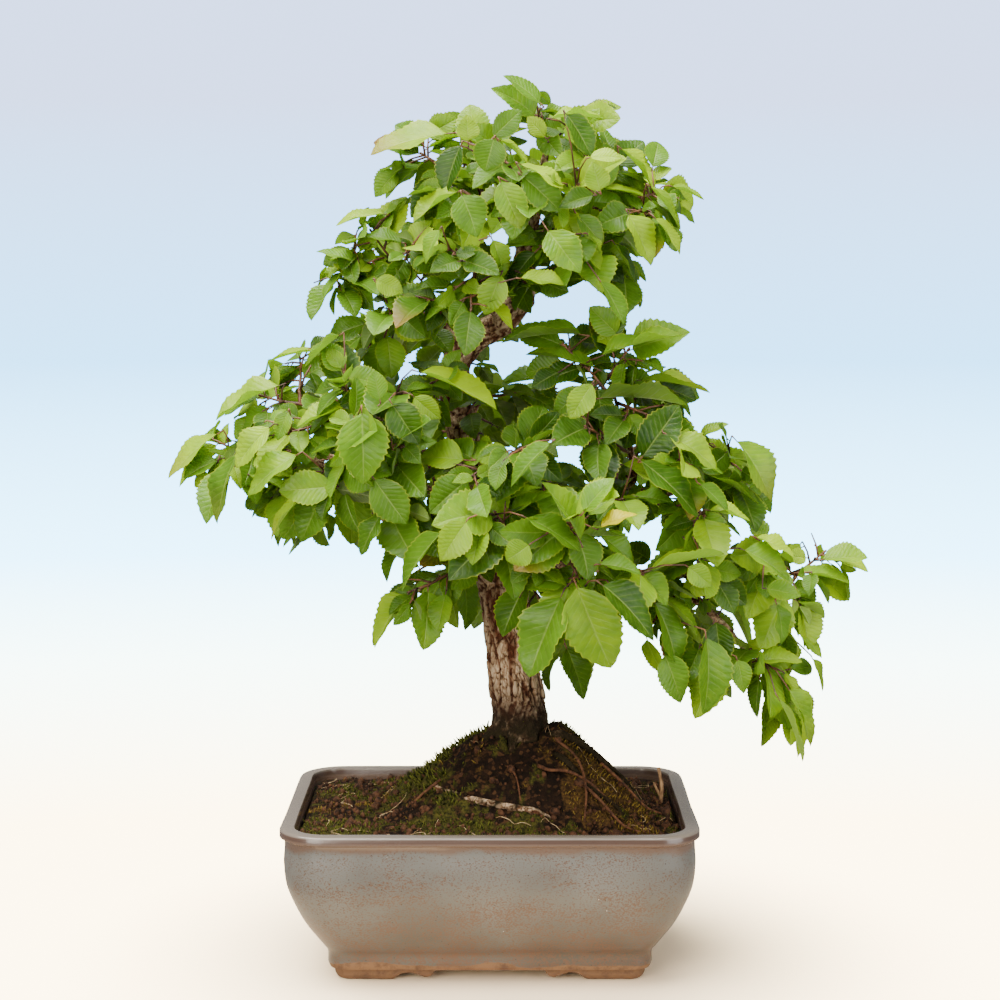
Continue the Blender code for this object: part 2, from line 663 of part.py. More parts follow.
def leaf_mesh(name, length, width, frame, thick, larger=1.0):
    """A drooping blade, folded at its midrib. Both faces are the same fan from the root."""
    bm = bmesh.new()
    faces = []
    for side in (1, -1):
        row = []
        for u, w in leaf_outline(length, width):
            u = length / 2 + (u - length / 2) * larger
            w *= larger
            rise = LEAF_FOLD * abs(w) - LEAF_CURL * length * (u / length) ** 2
            row.append(bm.verts.new(frame @ (Vector((u, w, rise + side * thick / 2)) * MM)))
        faces.append(row)
    upper, lower = faces
    count = len(upper)
    for a in range(1, count - 1):
        bm.faces.new((upper[0], upper[a], upper[a + 1]))
        bm.faces.new((lower[0], lower[a + 1], lower[a]))
    for a in range(count):
        b = (a + 1) % count
        bm.faces.new((upper[a], lower[a], lower[b]))
        bm.faces.new((upper[a], lower[b], upper[b]))
    return mesh_from(bm, name)


def leaf_frame(root, heading, face, roll):
    """A matrix with X along the leaf, Z out of its upper face, and its origin at the root."""
    x = heading.normalized()
    z = (face - x * face.dot(x)).normalized()
    z = Matrix.Rotation(roll, 3, x) @ z
    y = z.cross(x)
    frame = Matrix((x, y, z)).transposed().to_4x4()
    frame.translation = root * MM
    return frame


def leaf_tries(spray, shoot, number, base, tip, length):
    """Yields a leaf's frame, length and width, each try straying further from the first."""
    rng = random.Random(f"{spray} {shoot} {number}")
    run = (tip - base).normalized()
    back = min(LEAF_SPACING * number, FURTHEST_BACK * (tip - base).length) or LEAF_SUNK
    sideways = (tip.x - CANOPY_HEART[0]) * FACE_SIDE
    forward = max(-FACE_MOST, min(FACE_MOST, (tip.y - CANOPY_HEART[1]) * FACE_FRONT))
    face = Vector((sideways, forward, FACE_UP)).normalized()
    across = face.cross(run).normalized()
    side = 1.0 if (number + len(spray) + shoot) % 2 else -1.0
    spread = side * LEAF_SPREAD if number > 0 else 0.0
    droop = min(MOST_DROOP, DROOP + DROOP_MORE * max(0.0, DROOP_BELOW - tip.z))
    for attempt in range(TRIES):
        stray = 1.0 + attempt / TRIES_TO_DOUBLE
        aim = math.radians(spread + rng.uniform(*LEAF_STRAY) * stray)
        down = Vector((0, 0, droop + rng.uniform(*LEAF_SAG) * stray))
        roll = math.radians(rng.uniform(*LEAF_ROLL) * stray)
        size = length * rng.uniform(*LEAF_SIZES) * (1.0 - LAST_SHRINK * attempt / TRIES)
        width = size * rng.uniform(*LEAF_WIDE)
        heading = run * math.cos(aim) + across * math.sin(aim) - down
        root = tip - run * back
        if number > 0:
            root += (heading - run * heading.dot(run)).normalized() * (SHOOT_RADIUS / 2)
        yield leaf_frame(root, heading, face, roll), size, width


def tree_of(mesh):
    mesh.calc_loop_triangles()
    points = [vertex.co.copy() for vertex in mesh.vertices]
    return BVHTree.FromPolygons(points, [tuple(t.vertices) for t in mesh.loop_triangles])


def box_of(mesh):
    points = [vertex.co for vertex in mesh.vertices]
    low = Vector([min(point[i] for point in points) for i in range(3)])
    high = Vector([max(point[i] for point in points) for i in range(3)])
    return low, high


class Occupied:
    """What is already placed, so that a leaf can be tried against it."""

    def __init__(self):
        self.shapes = []

    def add(self, mesh, owner):
        self.shapes.append((*box_of(mesh), tree_of(mesh), owner))

    def meets(self, mesh, owner):
        low, high = box_of(mesh)
        tested = None
        for other_low, other_high, tree, other in self.shapes:
            if other == owner:
                continue
            if any(low[i] > other_high[i] or high[i] < other_low[i] for i in range(3)):
                continue
            tested = tested or tree_of(mesh)
            if tested.overlap(tree):
                return True
        return False


def make_shoots(spray, collection):
    """The spray's forked twig, as one bent tube and a second one from its fork."""
    _, seat, heading, fork = stem_start(spray)
    shoots = []
    for number, tip in enumerate(SPRAYS[spray][3]):
        base = fork
        points = [seat + heading * GAP, fork, Vector(tip)]
        if number > 0:
            base = fork - heading * FORK_SUNK
            points = [base, Vector(tip)]
        name = f"{spray}_shoot_{number}"
        shoot = tube(name, points, [SHOOT_RADIUS] * len(points), collection, TWIG_SIDES)
        shoots.append((shoot, base, Vector(tip)))
    return shoots


def place_leaves(spray, shoots, occupied, collection, material):
    """Tries each leaf of the spray until it is clear of all that is placed already."""
    leaves = []
    length = SPRAYS[spray][2]
    for number in range(LEAVES_ON_SHOOT):
        for shoot, (twig, base, tip) in enumerate(shoots):
            for frame, size, width in leaf_tries(spray, shoot, number, base, tip, length):
                test = leaf_mesh("test", size, width, frame, TEST_THICK, TEST_LARGER)
                blocked = occupied.meets(test, twig.name)
                bpy.data.meshes.remove(test)
                if blocked:
                    continue
                name = f"{spray}_leaf_{shoot}_{number}"
                mesh = leaf_mesh(name, size, width, frame, LEAF_THICK)
                occupied.add(mesh, name)
                leaves.append(add_object(name, mesh, collection, material))
                break
    return leaves


def make_sprays(trunk, collection, materials):
    """All twigs first, then leaf after leaf, so that no leaf crosses another spray."""
    occupied = Occupied()
    occupied.add(trunk.data, "trunk")
    twigs = {}
    for spray in SPRAYS:
        twigs[spray] = make_shoots(spray, collection)
        for shoot, _, _ in twigs[spray]:
            shoot.data.materials.append(materials["bark"])
            occupied.add(shoot.data, shoot.name)
    for spray, shoots in twigs.items():
        tone = "young_leaf" if spray.startswith(("crown", "far")) else "leaf"
        leaves = place_leaves(spray, shoots, occupied, collection, materials[tone])
        first, *others = [shoot for shoot, _, _ in shoots]
        combine(first, others + leaves, "UNION")
        first.name = spray


def main():
    clear_scene()
    collection = new_collection("korean_hornbeam_bonsai")
    materials = make_materials()
    make_pot(collection, materials["glaze"])
    make_screen("drain_screen_left", -1, collection, materials["plastic"])
    make_screen("drain_screen_right", 1, collection, materials["plastic"])
    trunk, rooms = make_tree(collection, materials["bark"])
    _, twig_room = make_dead_twig(collection, materials["bark"])
    make_soil(collection, materials["soil"], [*rooms, twig_room])
    make_sprays(trunk, collection, materials)
    origin = bpy.data.objects.new("bonsai_origin", None)
    collection.objects.link(origin)
    origin.location = place(POT_PLACE)
    for item in collection.objects:
        if item is not origin:
            item.parent = origin


main()
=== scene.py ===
# Korean hornbeam bonsai: bark, leaves, soil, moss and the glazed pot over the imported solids.
import math
import random

import bmesh
import bpy
from mathutils import Matrix, Vector, noise
from mathutils.bvhtree import BVHTree
from mathutils.kdtree import KDTree


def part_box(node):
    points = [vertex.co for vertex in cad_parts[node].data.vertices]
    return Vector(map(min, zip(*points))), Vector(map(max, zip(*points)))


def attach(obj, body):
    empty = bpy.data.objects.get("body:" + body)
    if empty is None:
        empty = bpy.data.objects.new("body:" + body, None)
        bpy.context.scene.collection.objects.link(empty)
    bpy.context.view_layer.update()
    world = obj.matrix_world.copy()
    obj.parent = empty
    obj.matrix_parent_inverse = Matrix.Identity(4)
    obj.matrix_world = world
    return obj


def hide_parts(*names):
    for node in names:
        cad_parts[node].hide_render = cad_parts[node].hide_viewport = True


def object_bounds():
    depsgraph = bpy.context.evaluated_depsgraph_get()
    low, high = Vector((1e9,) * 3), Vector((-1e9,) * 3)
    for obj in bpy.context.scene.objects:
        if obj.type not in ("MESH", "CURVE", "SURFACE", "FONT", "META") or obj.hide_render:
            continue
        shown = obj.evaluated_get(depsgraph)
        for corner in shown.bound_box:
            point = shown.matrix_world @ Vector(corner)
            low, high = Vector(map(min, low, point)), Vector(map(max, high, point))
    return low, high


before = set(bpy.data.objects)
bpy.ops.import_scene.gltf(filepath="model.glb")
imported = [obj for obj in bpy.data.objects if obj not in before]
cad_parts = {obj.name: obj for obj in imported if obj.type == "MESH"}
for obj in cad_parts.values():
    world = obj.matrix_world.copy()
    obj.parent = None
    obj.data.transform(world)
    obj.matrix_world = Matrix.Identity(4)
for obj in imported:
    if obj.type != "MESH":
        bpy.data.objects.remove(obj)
cadBox = [list(corner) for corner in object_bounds()]
mm = 0.001
noise.seed_set(11)  # without a seed, noise_vector takes one from the clock
# the tables are in mm from a point under the pot, which is here
potPlace = Vector((-14.7, 7.5, 3.0))


def place(point):
    return (Vector(point[:3]) + potPlace) * mm


def unplace(point):
    return point / mm - potPlace


def linear(colour):
    # an sRGB hex value as linear light
    parts = [int(colour[i:i + 2], 16) / 255 for i in (1, 3, 5)]
    return tuple(c / 12.92 if c < 0.04045 else ((c + 0.055) / 1.055) ** 2.4 for c in parts) + (1.0,)


def smoothStep(low, high, value):
    share = min(1.0, max(0.0, (value - low) / (high - low)))
    return share * share * (3 - 2 * share)


def meshOf(bm, name="work"):
    mesh = bpy.data.meshes.new(name)
    bm.to_mesh(mesh)
    bm.free()
    return mesh


def pour(source, bm):
    # adds one shape to another
    mesh = meshOf(source)
    bm.from_mesh(mesh)
    bpy.data.meshes.remove(mesh)


def linked(name, data):
    thing = bpy.data.objects.new(name, data)
    bpy.context.scene.collection.objects.link(thing)
    return thing


def evaluated(thing):
    # the object's mesh with its modifiers or its bevel worked out
    bpy.context.view_layer.update()
    graph = bpy.context.evaluated_depsgraph_get()
    return bpy.data.meshes.new_from_object(thing.evaluated_get(graph))


def searchTree(points):
    tree = KDTree(len(points))
    for number, point in enumerate(points):
        tree.insert(point, number)
    tree.balance()
    return tree


def boundsOf(points):
    return tuple([pick(point[axis] for point in points) for axis in range(3)]
                 for pick in (min, max))


view = {
    "sensor": 36.0, "focalLength": 76.43, "fromPotMiddle": (4.6, -984.0, 285.5),
    "lookDown": 6.17, "nearest": 0.05,
    # the focal length and the middle of the photo again, in its pixels
    "pixels": 2123.0, "middle": 500,
}


def makeCamera():
    low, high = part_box("pot")
    camera = linked("camera", bpy.data.cameras.new("camera"))
    camera.data.sensor_width = view["sensor"]
    camera.data.lens = view["focalLength"]
    camera.data.clip_start = view["nearest"]
    camera.location = (low + high) / 2 + Vector(view["fromPotMiddle"]) * mm
    camera.rotation_euler = (math.radians(90 - view["lookDown"]), 0, 0)
    bpy.context.scene.camera = camera
    return unplace(camera.location)


def gazeThrough(across, down):
    # which way the camera looks at a pixel of the photo
    pitch = math.radians(view["lookDown"])
    right = (across - view["middle"]) / view["pixels"]
    drop = (down - view["middle"]) / view["pixels"]
    return Vector((right, math.cos(pitch) - drop * math.sin(pitch),
                   -math.sin(pitch) - drop * math.cos(pitch)))


eye = makeCamera()
print("camera placed")

# The trunk's middle line and radius, from under the soil to the top of the crown.
trunkLine = (
    (16, 0, 58, 12.0),
    (15, 0, 84, 15.5),
    (14, 0, 98, 14.5),
    (14, 0, 111, 12.4),
    (11, 0, 130, 11.2),
    (8, 0, 151, 10.4),
    (6, 0, 170, 11.4),
    (3, 2, 186, 12.0),
    (-4, 6, 210, 8.2),
    (-11, 10, 235, 7.4),
    (-17, 12, 259, 7.0),
    (-16, 10, 276, 6.8),
    (-7, 6, 288, 6.6),
    (6, 2, 295, 6.4),
    (15, 0, 306, 6.2),
    (16, 0, 323, 5.6),
    (19, 2, 341, 4.0),
    (23, 2, 359, 2.8),
    (26, 0, 374, 1.5),
)
# Each limb's radius at its start and end, and its middle line.
limbs = {
    "left_low": (5.4, 1.3, [(4, 0, 179), (-12, -4, 182), (-28, -10, 190), (-41, -14, 196),
                            (-49, -16, 208), (-63, -16, 222), (-83, -14, 234), (-102, -12, 239)]),
    "left_up": (3.0, 1.2, [(-13, 10, 245), (-28, -6, 254), (-45, -14, 251), (-64, -18, 255),
                           (-83, -18, 258)]),
    "left_front": (2.4, 1.2, [(-41, -14, 196), (-50, -32, 216), (-62, -46, 231)]),
    "upper_left": (3.4, 1.2, [(-14, 8, 282), (-23, 4, 295), (-33, -2, 307), (-45, -6, 316),
                              (-57, -8, 323)]),
    "upper_front": (2.4, 1.2, [(5, 2, 294), (-1, -20, 306), (-6, -36, 319)]),
    "crown_left": (3.2, 1.2, [(16, 0, 328), (5, -6, 344), (-9, -10, 358), (-22, -12, 366)]),
    "crown_right": (3.2, 1.2, [(17, 0, 331), (32, -6, 341), (50, -12, 347), (65, -14, 351)]),
    "crown_back": (2.4, 1.2, [(17, 0, 334), (21, 24, 350), (24, 42, 360)]),
    "front": (3.2, 1.2, [(5, 0, 182), (10, -24, 189), (18, -48, 193), (31, -62, 193)]),
    "front_up": (2.4, 1.2, [(-1, 4, 203), (3, -26, 220), (7, -46, 235)]),
    "right_mid": (4.4, 1.2, [(4, 2, 188), (26, -4, 187), (43, -10, 194), (47, -14, 208),
                             (69, -16, 213), (88, -14, 219), (102, -12, 225)]),
    "right_spur": (2.4, 1.2, [(63, -16, 213), (66, -18, 226), (63, -18, 246), (54, -18, 261)]),
    "right_low": (5.4, 1.2, [(6, 0, 177), (28, -10, 183), (52, -22, 185), (75, -28, 179),
                             (94, -28, 170), (110, -24, 155), (120, -22, 141)]),
    "right_far": (2.6, 1.2, [(75, -28, 179), (98, -22, 183), (122, -16, 173), (140, -12, 180)]),
    "back_low": (2.8, 1.2, [(2, 4, 191), (0, 30, 190), (-5, 56, 183)]),
    "back_right": (3.0, 1.2, [(3, 4, 193), (33, 30, 200), (63, 48, 207), (89, 54, 211)]),
    "back_mid": (2.6, 1.2, [(-11, 10, 240), (-10, 36, 247), (-5, 58, 256)]),
    "back_left": (3.0, 1.2, [(-5, 6, 210), (-29, 30, 214), (-59, 44, 223), (-83, 46, 231)]),
    "back_up": (2.6, 1.2, [(-15, 10, 275), (-18, 34, 286), (-25, 50, 300)]),
}
roots = {
    "front_root": (2.8, 1.6, [(8, -2, 90), (-10, -8, 86), (-26, -19, 80), (-13, -30, 78.5),
                              (4, -38, 77), (21, -41, 75), (32, -40, 68)]),
    "right_root": (2.6, 1.3, [(24, -6, 101), (33, -10, 104), (43, -8, 98.5), (52, -5, 91),
                              (62, -3, 81.5), (74, -3, 66)]),
    "low_root": (2.2, 1.1, [(22, -10, 97), (34, -20, 94.5), (46, -26, 82.5), (57, -28, 74.5),
                            (66, -28, 65)]),
    "left_root": (4.6, 2.6, [(11, 0, 112), (3, -3, 105), (-6, -6, 94)]),
    "near_root": (4.8, 2.8, [(13, -3, 112), (11.5, -9, 104.5), (10, -17, 94)]),
    "far_root": (4.6, 2.6, [(14, 3, 112), (17, 10, 104), (20, 18, 94)]),
    "behind_root": (4.2, 2.4, [(12, 3, 111), (4, 9, 104), (-4, 15, 93)]),
}
# The dead twig that stands in the soil, and the snag on its left, with radii in mm.
deadTwig = ((80, 6, 52), (80.9, 6.2, 64), (81.5, 5.7, 75), (80, 6, 84))
deadSnag = (((80.9, 6, 70), 0.7), ((79.0, 5.4, 74), 0.6), ((77.6, 5.2, 77), 0.35))
# Each leafy spray: the limb that carries it, how far along that limb, the length of its
# leaves, and the tips of its shoots.
sprays = {
    "crown_top": ("trunk", 1.0, 24, [(22, -4, 388), (36, -14, 383)]),
    "crown_left_tip": ("crown_left", 1.0, 25, [(-30, -12, 371), (-17, -30, 356)]),
    "crown_left_mid": ("crown_left", 0.55, 24, [(-5, -18, 372), (-5, -40, 347)]),
    "crown_front": ("trunk", 0.93, 26, [(18, -48, 350), (6, -36, 368)]),
    "crown_front_right": ("crown_right", 0.2, 26, [(38, -46, 356), (33, -44, 333)]),
    "crown_right_tip": ("crown_right", 1.0, 25, [(75, -12, 354), (70, -24, 343)]),
    "crown_right_mid": ("crown_right", 0.6, 24, [(43, -26, 369), (57, -8, 365)]),
    "crown_low_right": ("crown_right", 0.42, 25, [(57, -6, 324), (45, -32, 327)]),
    "crown_low_front": ("trunk", 0.8, 26, [(5, -38, 321), (27, -36, 318)]),
    "crown_back_left": ("crown_back", 1.0, 24, [(6, 46, 374), (14, 66, 353)]),
    "crown_back_top": ("crown_back", 0.7, 24, [(42, 34, 378), (40, 60, 349)]),
    "crown_back_right": ("crown_right", 0.8, 24, [(71, 18, 357), (56, 38, 340)]),
    "crown_back_side": ("crown_left", 0.75, 24, [(-10, 24, 364), (-14, 40, 340)]),
    "shelf_tip": ("upper_left", 1.0, 23, [(-61, -16, 331), (-70, -18, 314)]),
    "shelf_top": ("upper_left", 0.68, 23, [(-53, -20, 336), (-34, -38, 330)]),
    "shelf_under": ("upper_left", 0.42, 24, [(-58, -2, 290), (-44, -34, 300)]),
    "shelf_front": ("upper_front", 1.0, 25, [(-17, -52, 328), (-8, -56, 303)]),
    "shelf_inner": ("upper_front", 0.5, 24, [(-26, -44, 306)]),
    "shelf_back": ("back_up", 1.0, 23, [(-40, 46, 324), (-46, 50, 294)]),
    "shelf_back_right": ("back_up", 0.5, 24, [(4, 56, 305), (-18, 66, 289)]),
    "left_tip": ("left_low", 1.0, 27, [(-123, -12, 237), (-118, -30, 230)]),
    "left_drop": ("left_low", 0.8, 26, [(-90, -24, 221), (-83, 6, 211)]),
    "left_shoulder": ("left_up", 1.0, 25, [(-104, -14, 262), (-88, 0, 278)]),
    "left_crest": ("left_up", 0.65, 25, [(-64, -40, 269), (-88, -46, 248)]),
    "left_inner": ("left_up", 0.25, 26, [(-41, -50, 265), (-23, -36, 271)]),
    "left_face": ("left_front", 1.0, 30, [(-71, -54, 226), (-60, -64, 248)]),
    "left_face_inner": ("left_front", 0.5, 27, [(-40, -58, 242), (-44, -56, 214)]),
    "left_under": ("left_low", 0.38, 27, [(-30, -46, 207)]),
    "left_back": ("back_left", 1.0, 25, [(-100, 50, 240), (-94, 44, 217)]),
    "left_back_mid": ("back_left", 0.65, 25, [(-70, 58, 248), (-62, 62, 205)]),
    "left_back_inner": ("back_left", 0.3, 25, [(-34, 58, 236), (-43, 40, 260)]),
    "front_left": ("front", 0.35, 28, [(-35, -48, 177), (-13, -46, 206)]),
    "front_low": ("front", 0.75, 32, [(21, -62, 177), (3, -70, 214)]),
    "front_tip": ("front", 1.0, 32, [(41, -71, 182), (35, -80, 213)]),
    "front_face": ("front_up", 1.0, 27, [(-8, -66, 230), (14, -66, 242)]),
    "front_face_side": ("front_up", 0.5, 26, [(25, -54, 225)]),
    "spur_tip": ("right_spur", 1.0, 26, [(62, -26, 283), (73, -12, 270)]),
    "spur_side": ("right_spur", 0.8, 26, [(34, -28, 285), (75, -36, 253)]),
    "spur_low": ("right_spur", 0.45, 26, [(43, -46, 250)]),
    "right_crest": ("right_mid", 1.0, 26, [(109, -22, 234), (112, -22, 223)]),
    "right_face": ("right_mid", 0.8, 26, [(85, -50, 236), (95, -46, 211)]),
    "right_inner": ("right_mid", 0.5, 26, [(58, -56, 219)]),
    "right_back": ("back_right", 1.0, 25, [(107, 56, 222), (99, 66, 195)]),
    "right_back_mid": ("back_right", 0.6, 25, [(74, 54, 237), (55, 72, 209)]),
    "low_tip": ("right_low", 1.0, 28, [(136, -22, 124), (124, -37, 143)]),
    "low_mid": ("right_low", 0.8, 27, [(99, -46, 150)]),
    "low_face": ("right_low", 0.5, 28, [(78, -52, 164), (66, -68, 189)]),
    "low_top": ("right_far", 0.3, 26, [(93, -54, 194)]),
    "far_tip": ("right_far", 1.0, 26, [(154, -10, 189), (134, -30, 174)]),
    "far_mid": ("right_far", 0.7, 27, [(138, -8, 150), (124, -32, 193)]),
    "far_back": ("right_far", 0.4, 26, [(122, 24, 177), (101, 32, 155)]),
    "back_low_left": ("back_low", 1.0, 27, [(-26, 64, 160), (6, 78, 157)]),
    "back_low_right": ("back_low", 0.5, 27, [(39, 44, 143)]),
    "back_mid": ("back_mid", 1.0, 26, [(6, 76, 256), (-18, 78, 230), (31, 62, 261)]),
}


def addNode(tree, kind, settings=()):
    # a number is the socket's place, as a Mix node repeats its names; a node given as a value is
    # linked by its main output
    node = tree.nodes.new("ShaderNode" + kind)
    for key, value in dict(settings).items():
        if isinstance(value, bpy.types.Node):
            value = value.outputs[2 if getattr(value, "data_type", "") == "RGBA" else 0]
        if isinstance(value, bpy.types.NodeSocket):
            tree.links.new(value, node.inputs[key])
        elif isinstance(key, int) or key in node.inputs:
            node.inputs[key].default_value = value
        else:
            setattr(node, key, value)
    return node


def newMaterial(name):
    material = bpy.data.materials.new(name)
    material.use_nodes = True
    material.node_tree.nodes.clear()
    return material, material.node_tree


def perMm(size):
    # the scale of a texture whose pattern is this many mm across
    return 1000.0 / size


glaze = {
    "grey": "#5E5D59", "darkGrey": "#34322D", "rust": "#4F3220", "iron": "#21150F",
    "white": "#D8D2C6", "lipTop": "#685F57", "lipBand": "#5F493B", "lipNoseShade": "#3A2A24",
    "bandBottom": 65.6, "bandTop": 70.2, "lipTopFrom": 72.2, "clayTop": 8.2, "footTop": 6.1,
    "clay": "#66492F", "clayStain": "#3A2414", "foot": "#5C4027",
}


def makeGlaze():
    # stoneware fired in reduction: a satin warm-grey glaze, freckled all over with iron that bleeds
    # through from the clay, a browner band under the lip, and bare brown clay along the base
    material, tree = newMaterial("stonewareGlaze")
    spot = addNode(tree, "TexCoord").outputs["Object"]
    height = addNode(tree, "SeparateXYZ", {0: spot}).outputs["Z"]
    low = addNode(tree, "Mapping", {"Scale": (1.0, 1.0, 2.4), "Vector": spot})
    streak = addNode(tree, "TexNoise", {"Scale": perMm(22), "Detail": 4.0, "Roughness": 0.6,
                                        "Vector": low})
    # the freckles are 0.9 mm wide, a little coarser than real, so that the render holds them
    flat = addNode(tree, "Mapping", {"Scale": (1.0, 1.0, 1.35), "Vector": spot})
    grain = addNode(tree, "TexNoise", {"Scale": perMm(0.9), "Detail": 2.0, "Roughness": 0.6,
                                       "Vector": flat})
    # painted shade: towards the bottom, which faces down, the glaze is painted a darker grey with
    # more freckles; the real freckles are denser low down as well
    lower = addNode(tree, "MapRange", {"Value": height, "From Min": 0.066, "From Max": 0.014,
                                       "To Min": -0.03, "To Max": 0.09})
    rustAndLowShade = addNode(tree, "Math", {"operation": "MULTIPLY_ADD", 0: streak, 1: 0.4, 2: lower})
    rustAndLowShade = addNode(tree, "Math", {"operation": "ADD", 0: grain, 1: rustAndLowShade})
    rustAndLowShadeShare = addNode(tree, "MapRange", {"interpolation_type": "SMOOTHSTEP", "Value": rustAndLowShade,
                                           "From Min": 0.68, "From Max": 0.9, "To Max": 0.85})
    cloud = addNode(tree, "TexNoise", {"Scale": perMm(34), "Detail": 2.0, "Vector": spot})
    cloudShare = addNode(tree, "MapRange", {"Value": cloud, "From Min": 0.35, "From Max": 0.7,
                                            "To Max": 0.4})
    cloudsAndLowShade = addNode(tree, "Math", {"operation": "MULTIPLY_ADD", 0: lower, 1: 8.0, 2: cloudShare})
    layers = [(cloudsAndLowShade, "darkGrey"), (rustAndLowShadeShare, "rust")]
    # pinholes of melted iron and a few white grains, drawn a little coarser than real
    for size, reach, rare, name in ((2.9, 0.15, 0.4, "iron"), (7.5, 0.04, 0.45, "white")):
        specks = addNode(tree, "TexVoronoi", {"Scale": perMm(size), "Vector": flat})
        near = addNode(tree, "MapRange", {"Value": specks.outputs["Distance"], "From Min": reach,
                                          "From Max": reach * 0.5, "To Max": 0.85})
        which = addNode(tree, "SeparateColor", {0: specks.outputs["Color"]})
        shown = addNode(tree, "Math", {"operation": "GREATER_THAN", 0: which, 1: rare})
        layers.append((addNode(tree, "Math", {"operation": "MULTIPLY", 0: near, 1: shown}), name))
    # the bands wander up and down a little, as the glaze ran
    run = addNode(tree, "TexNoise", {"Scale": perMm(24), "Detail": 3.0, "Vector": spot})
    wander = addNode(tree, "MapRange", {"Value": run, "From Min": 0.3, "From Max": 0.7,
                                        "To Min": -0.0018, "To Max": 0.0018})
    level = addNode(tree, "Math", {"operation": "ADD", 0: height, 1: wander})
    # the dark line just under the lip top is painted shade along the lip's rounded nose
    for name, start, end, measure, most in (
            ("lipBand", glaze["bandBottom"] - 1.0, glaze["bandBottom"] + 1.2, level, 0.8),
            ("lipNoseShade", glaze["bandTop"] - 0.6, glaze["bandTop"] + 0.5, height, 0.8),
            ("lipTop", glaze["lipTopFrom"] - 0.3, glaze["lipTopFrom"] + 0.3, height, 0.9),
            ("clay", glaze["clayTop"] + 0.25, glaze["clayTop"], level, 1.0),
            ("foot", glaze["footTop"] + 0.2, glaze["footTop"], height, 1.0)):
        share = addNode(tree, "MapRange", {"Value": measure, "From Min": start * mm,
                                           "From Max": end * mm, "To Max": most})
        layers.append((share, name))
    bare = next(share for share, name in layers if name == "clay")
    stain = addNode(tree, "TexNoise", {"Scale": perMm(5), "Detail": 5.0, "Roughness": 0.7,
                                       "Vector": spot})
    stainShare = addNode(tree, "MapRange", {"Value": stain, "From Min": 0.45, "From Max": 0.68,
                                            "To Max": 0.8})
    stained = addNode(tree, "Math", {"operation": "MULTIPLY", 0: stainShare, 1: bare})
    colour = linear(glaze["grey"])
    for share, name in (*layers, (stained, "clayStain")):
        colour = addNode(tree, "Mix", {"data_type": "RGBA", 0: share, 6: colour,
                                       7: linear(glaze[name])})
    polish = addNode(tree, "MapRange", {"Value": height, "From Min": 0.0655, "From Max": 0.072,
                                        "To Min": 0.34, "To Max": 0.2})
    rough = addNode(tree, "Mix", {0: bare, 2: polish, 3: 0.82})
    bump = addNode(tree, "Bump", {"Strength": 0.3, "Distance": 0.0002, "Height": grain})
    shader = addNode(tree, "BsdfPrincipled", {"IOR": 1.5, "Base Color": colour,
                                              "Roughness": rough, "Normal": bump})
    addNode(tree, "OutputMaterial", {"Surface": shader})
    return material


bark = {
    "fissure": "#24150C", "inner": "#5E432D", "plate": "#96795D", "crest": "#B9A184",
    "red": "#703C24", "moss": "#2C3413", "shade": "#1E120A", "rootPale": "#A88E74",
    "mossTop": 110.0,
}


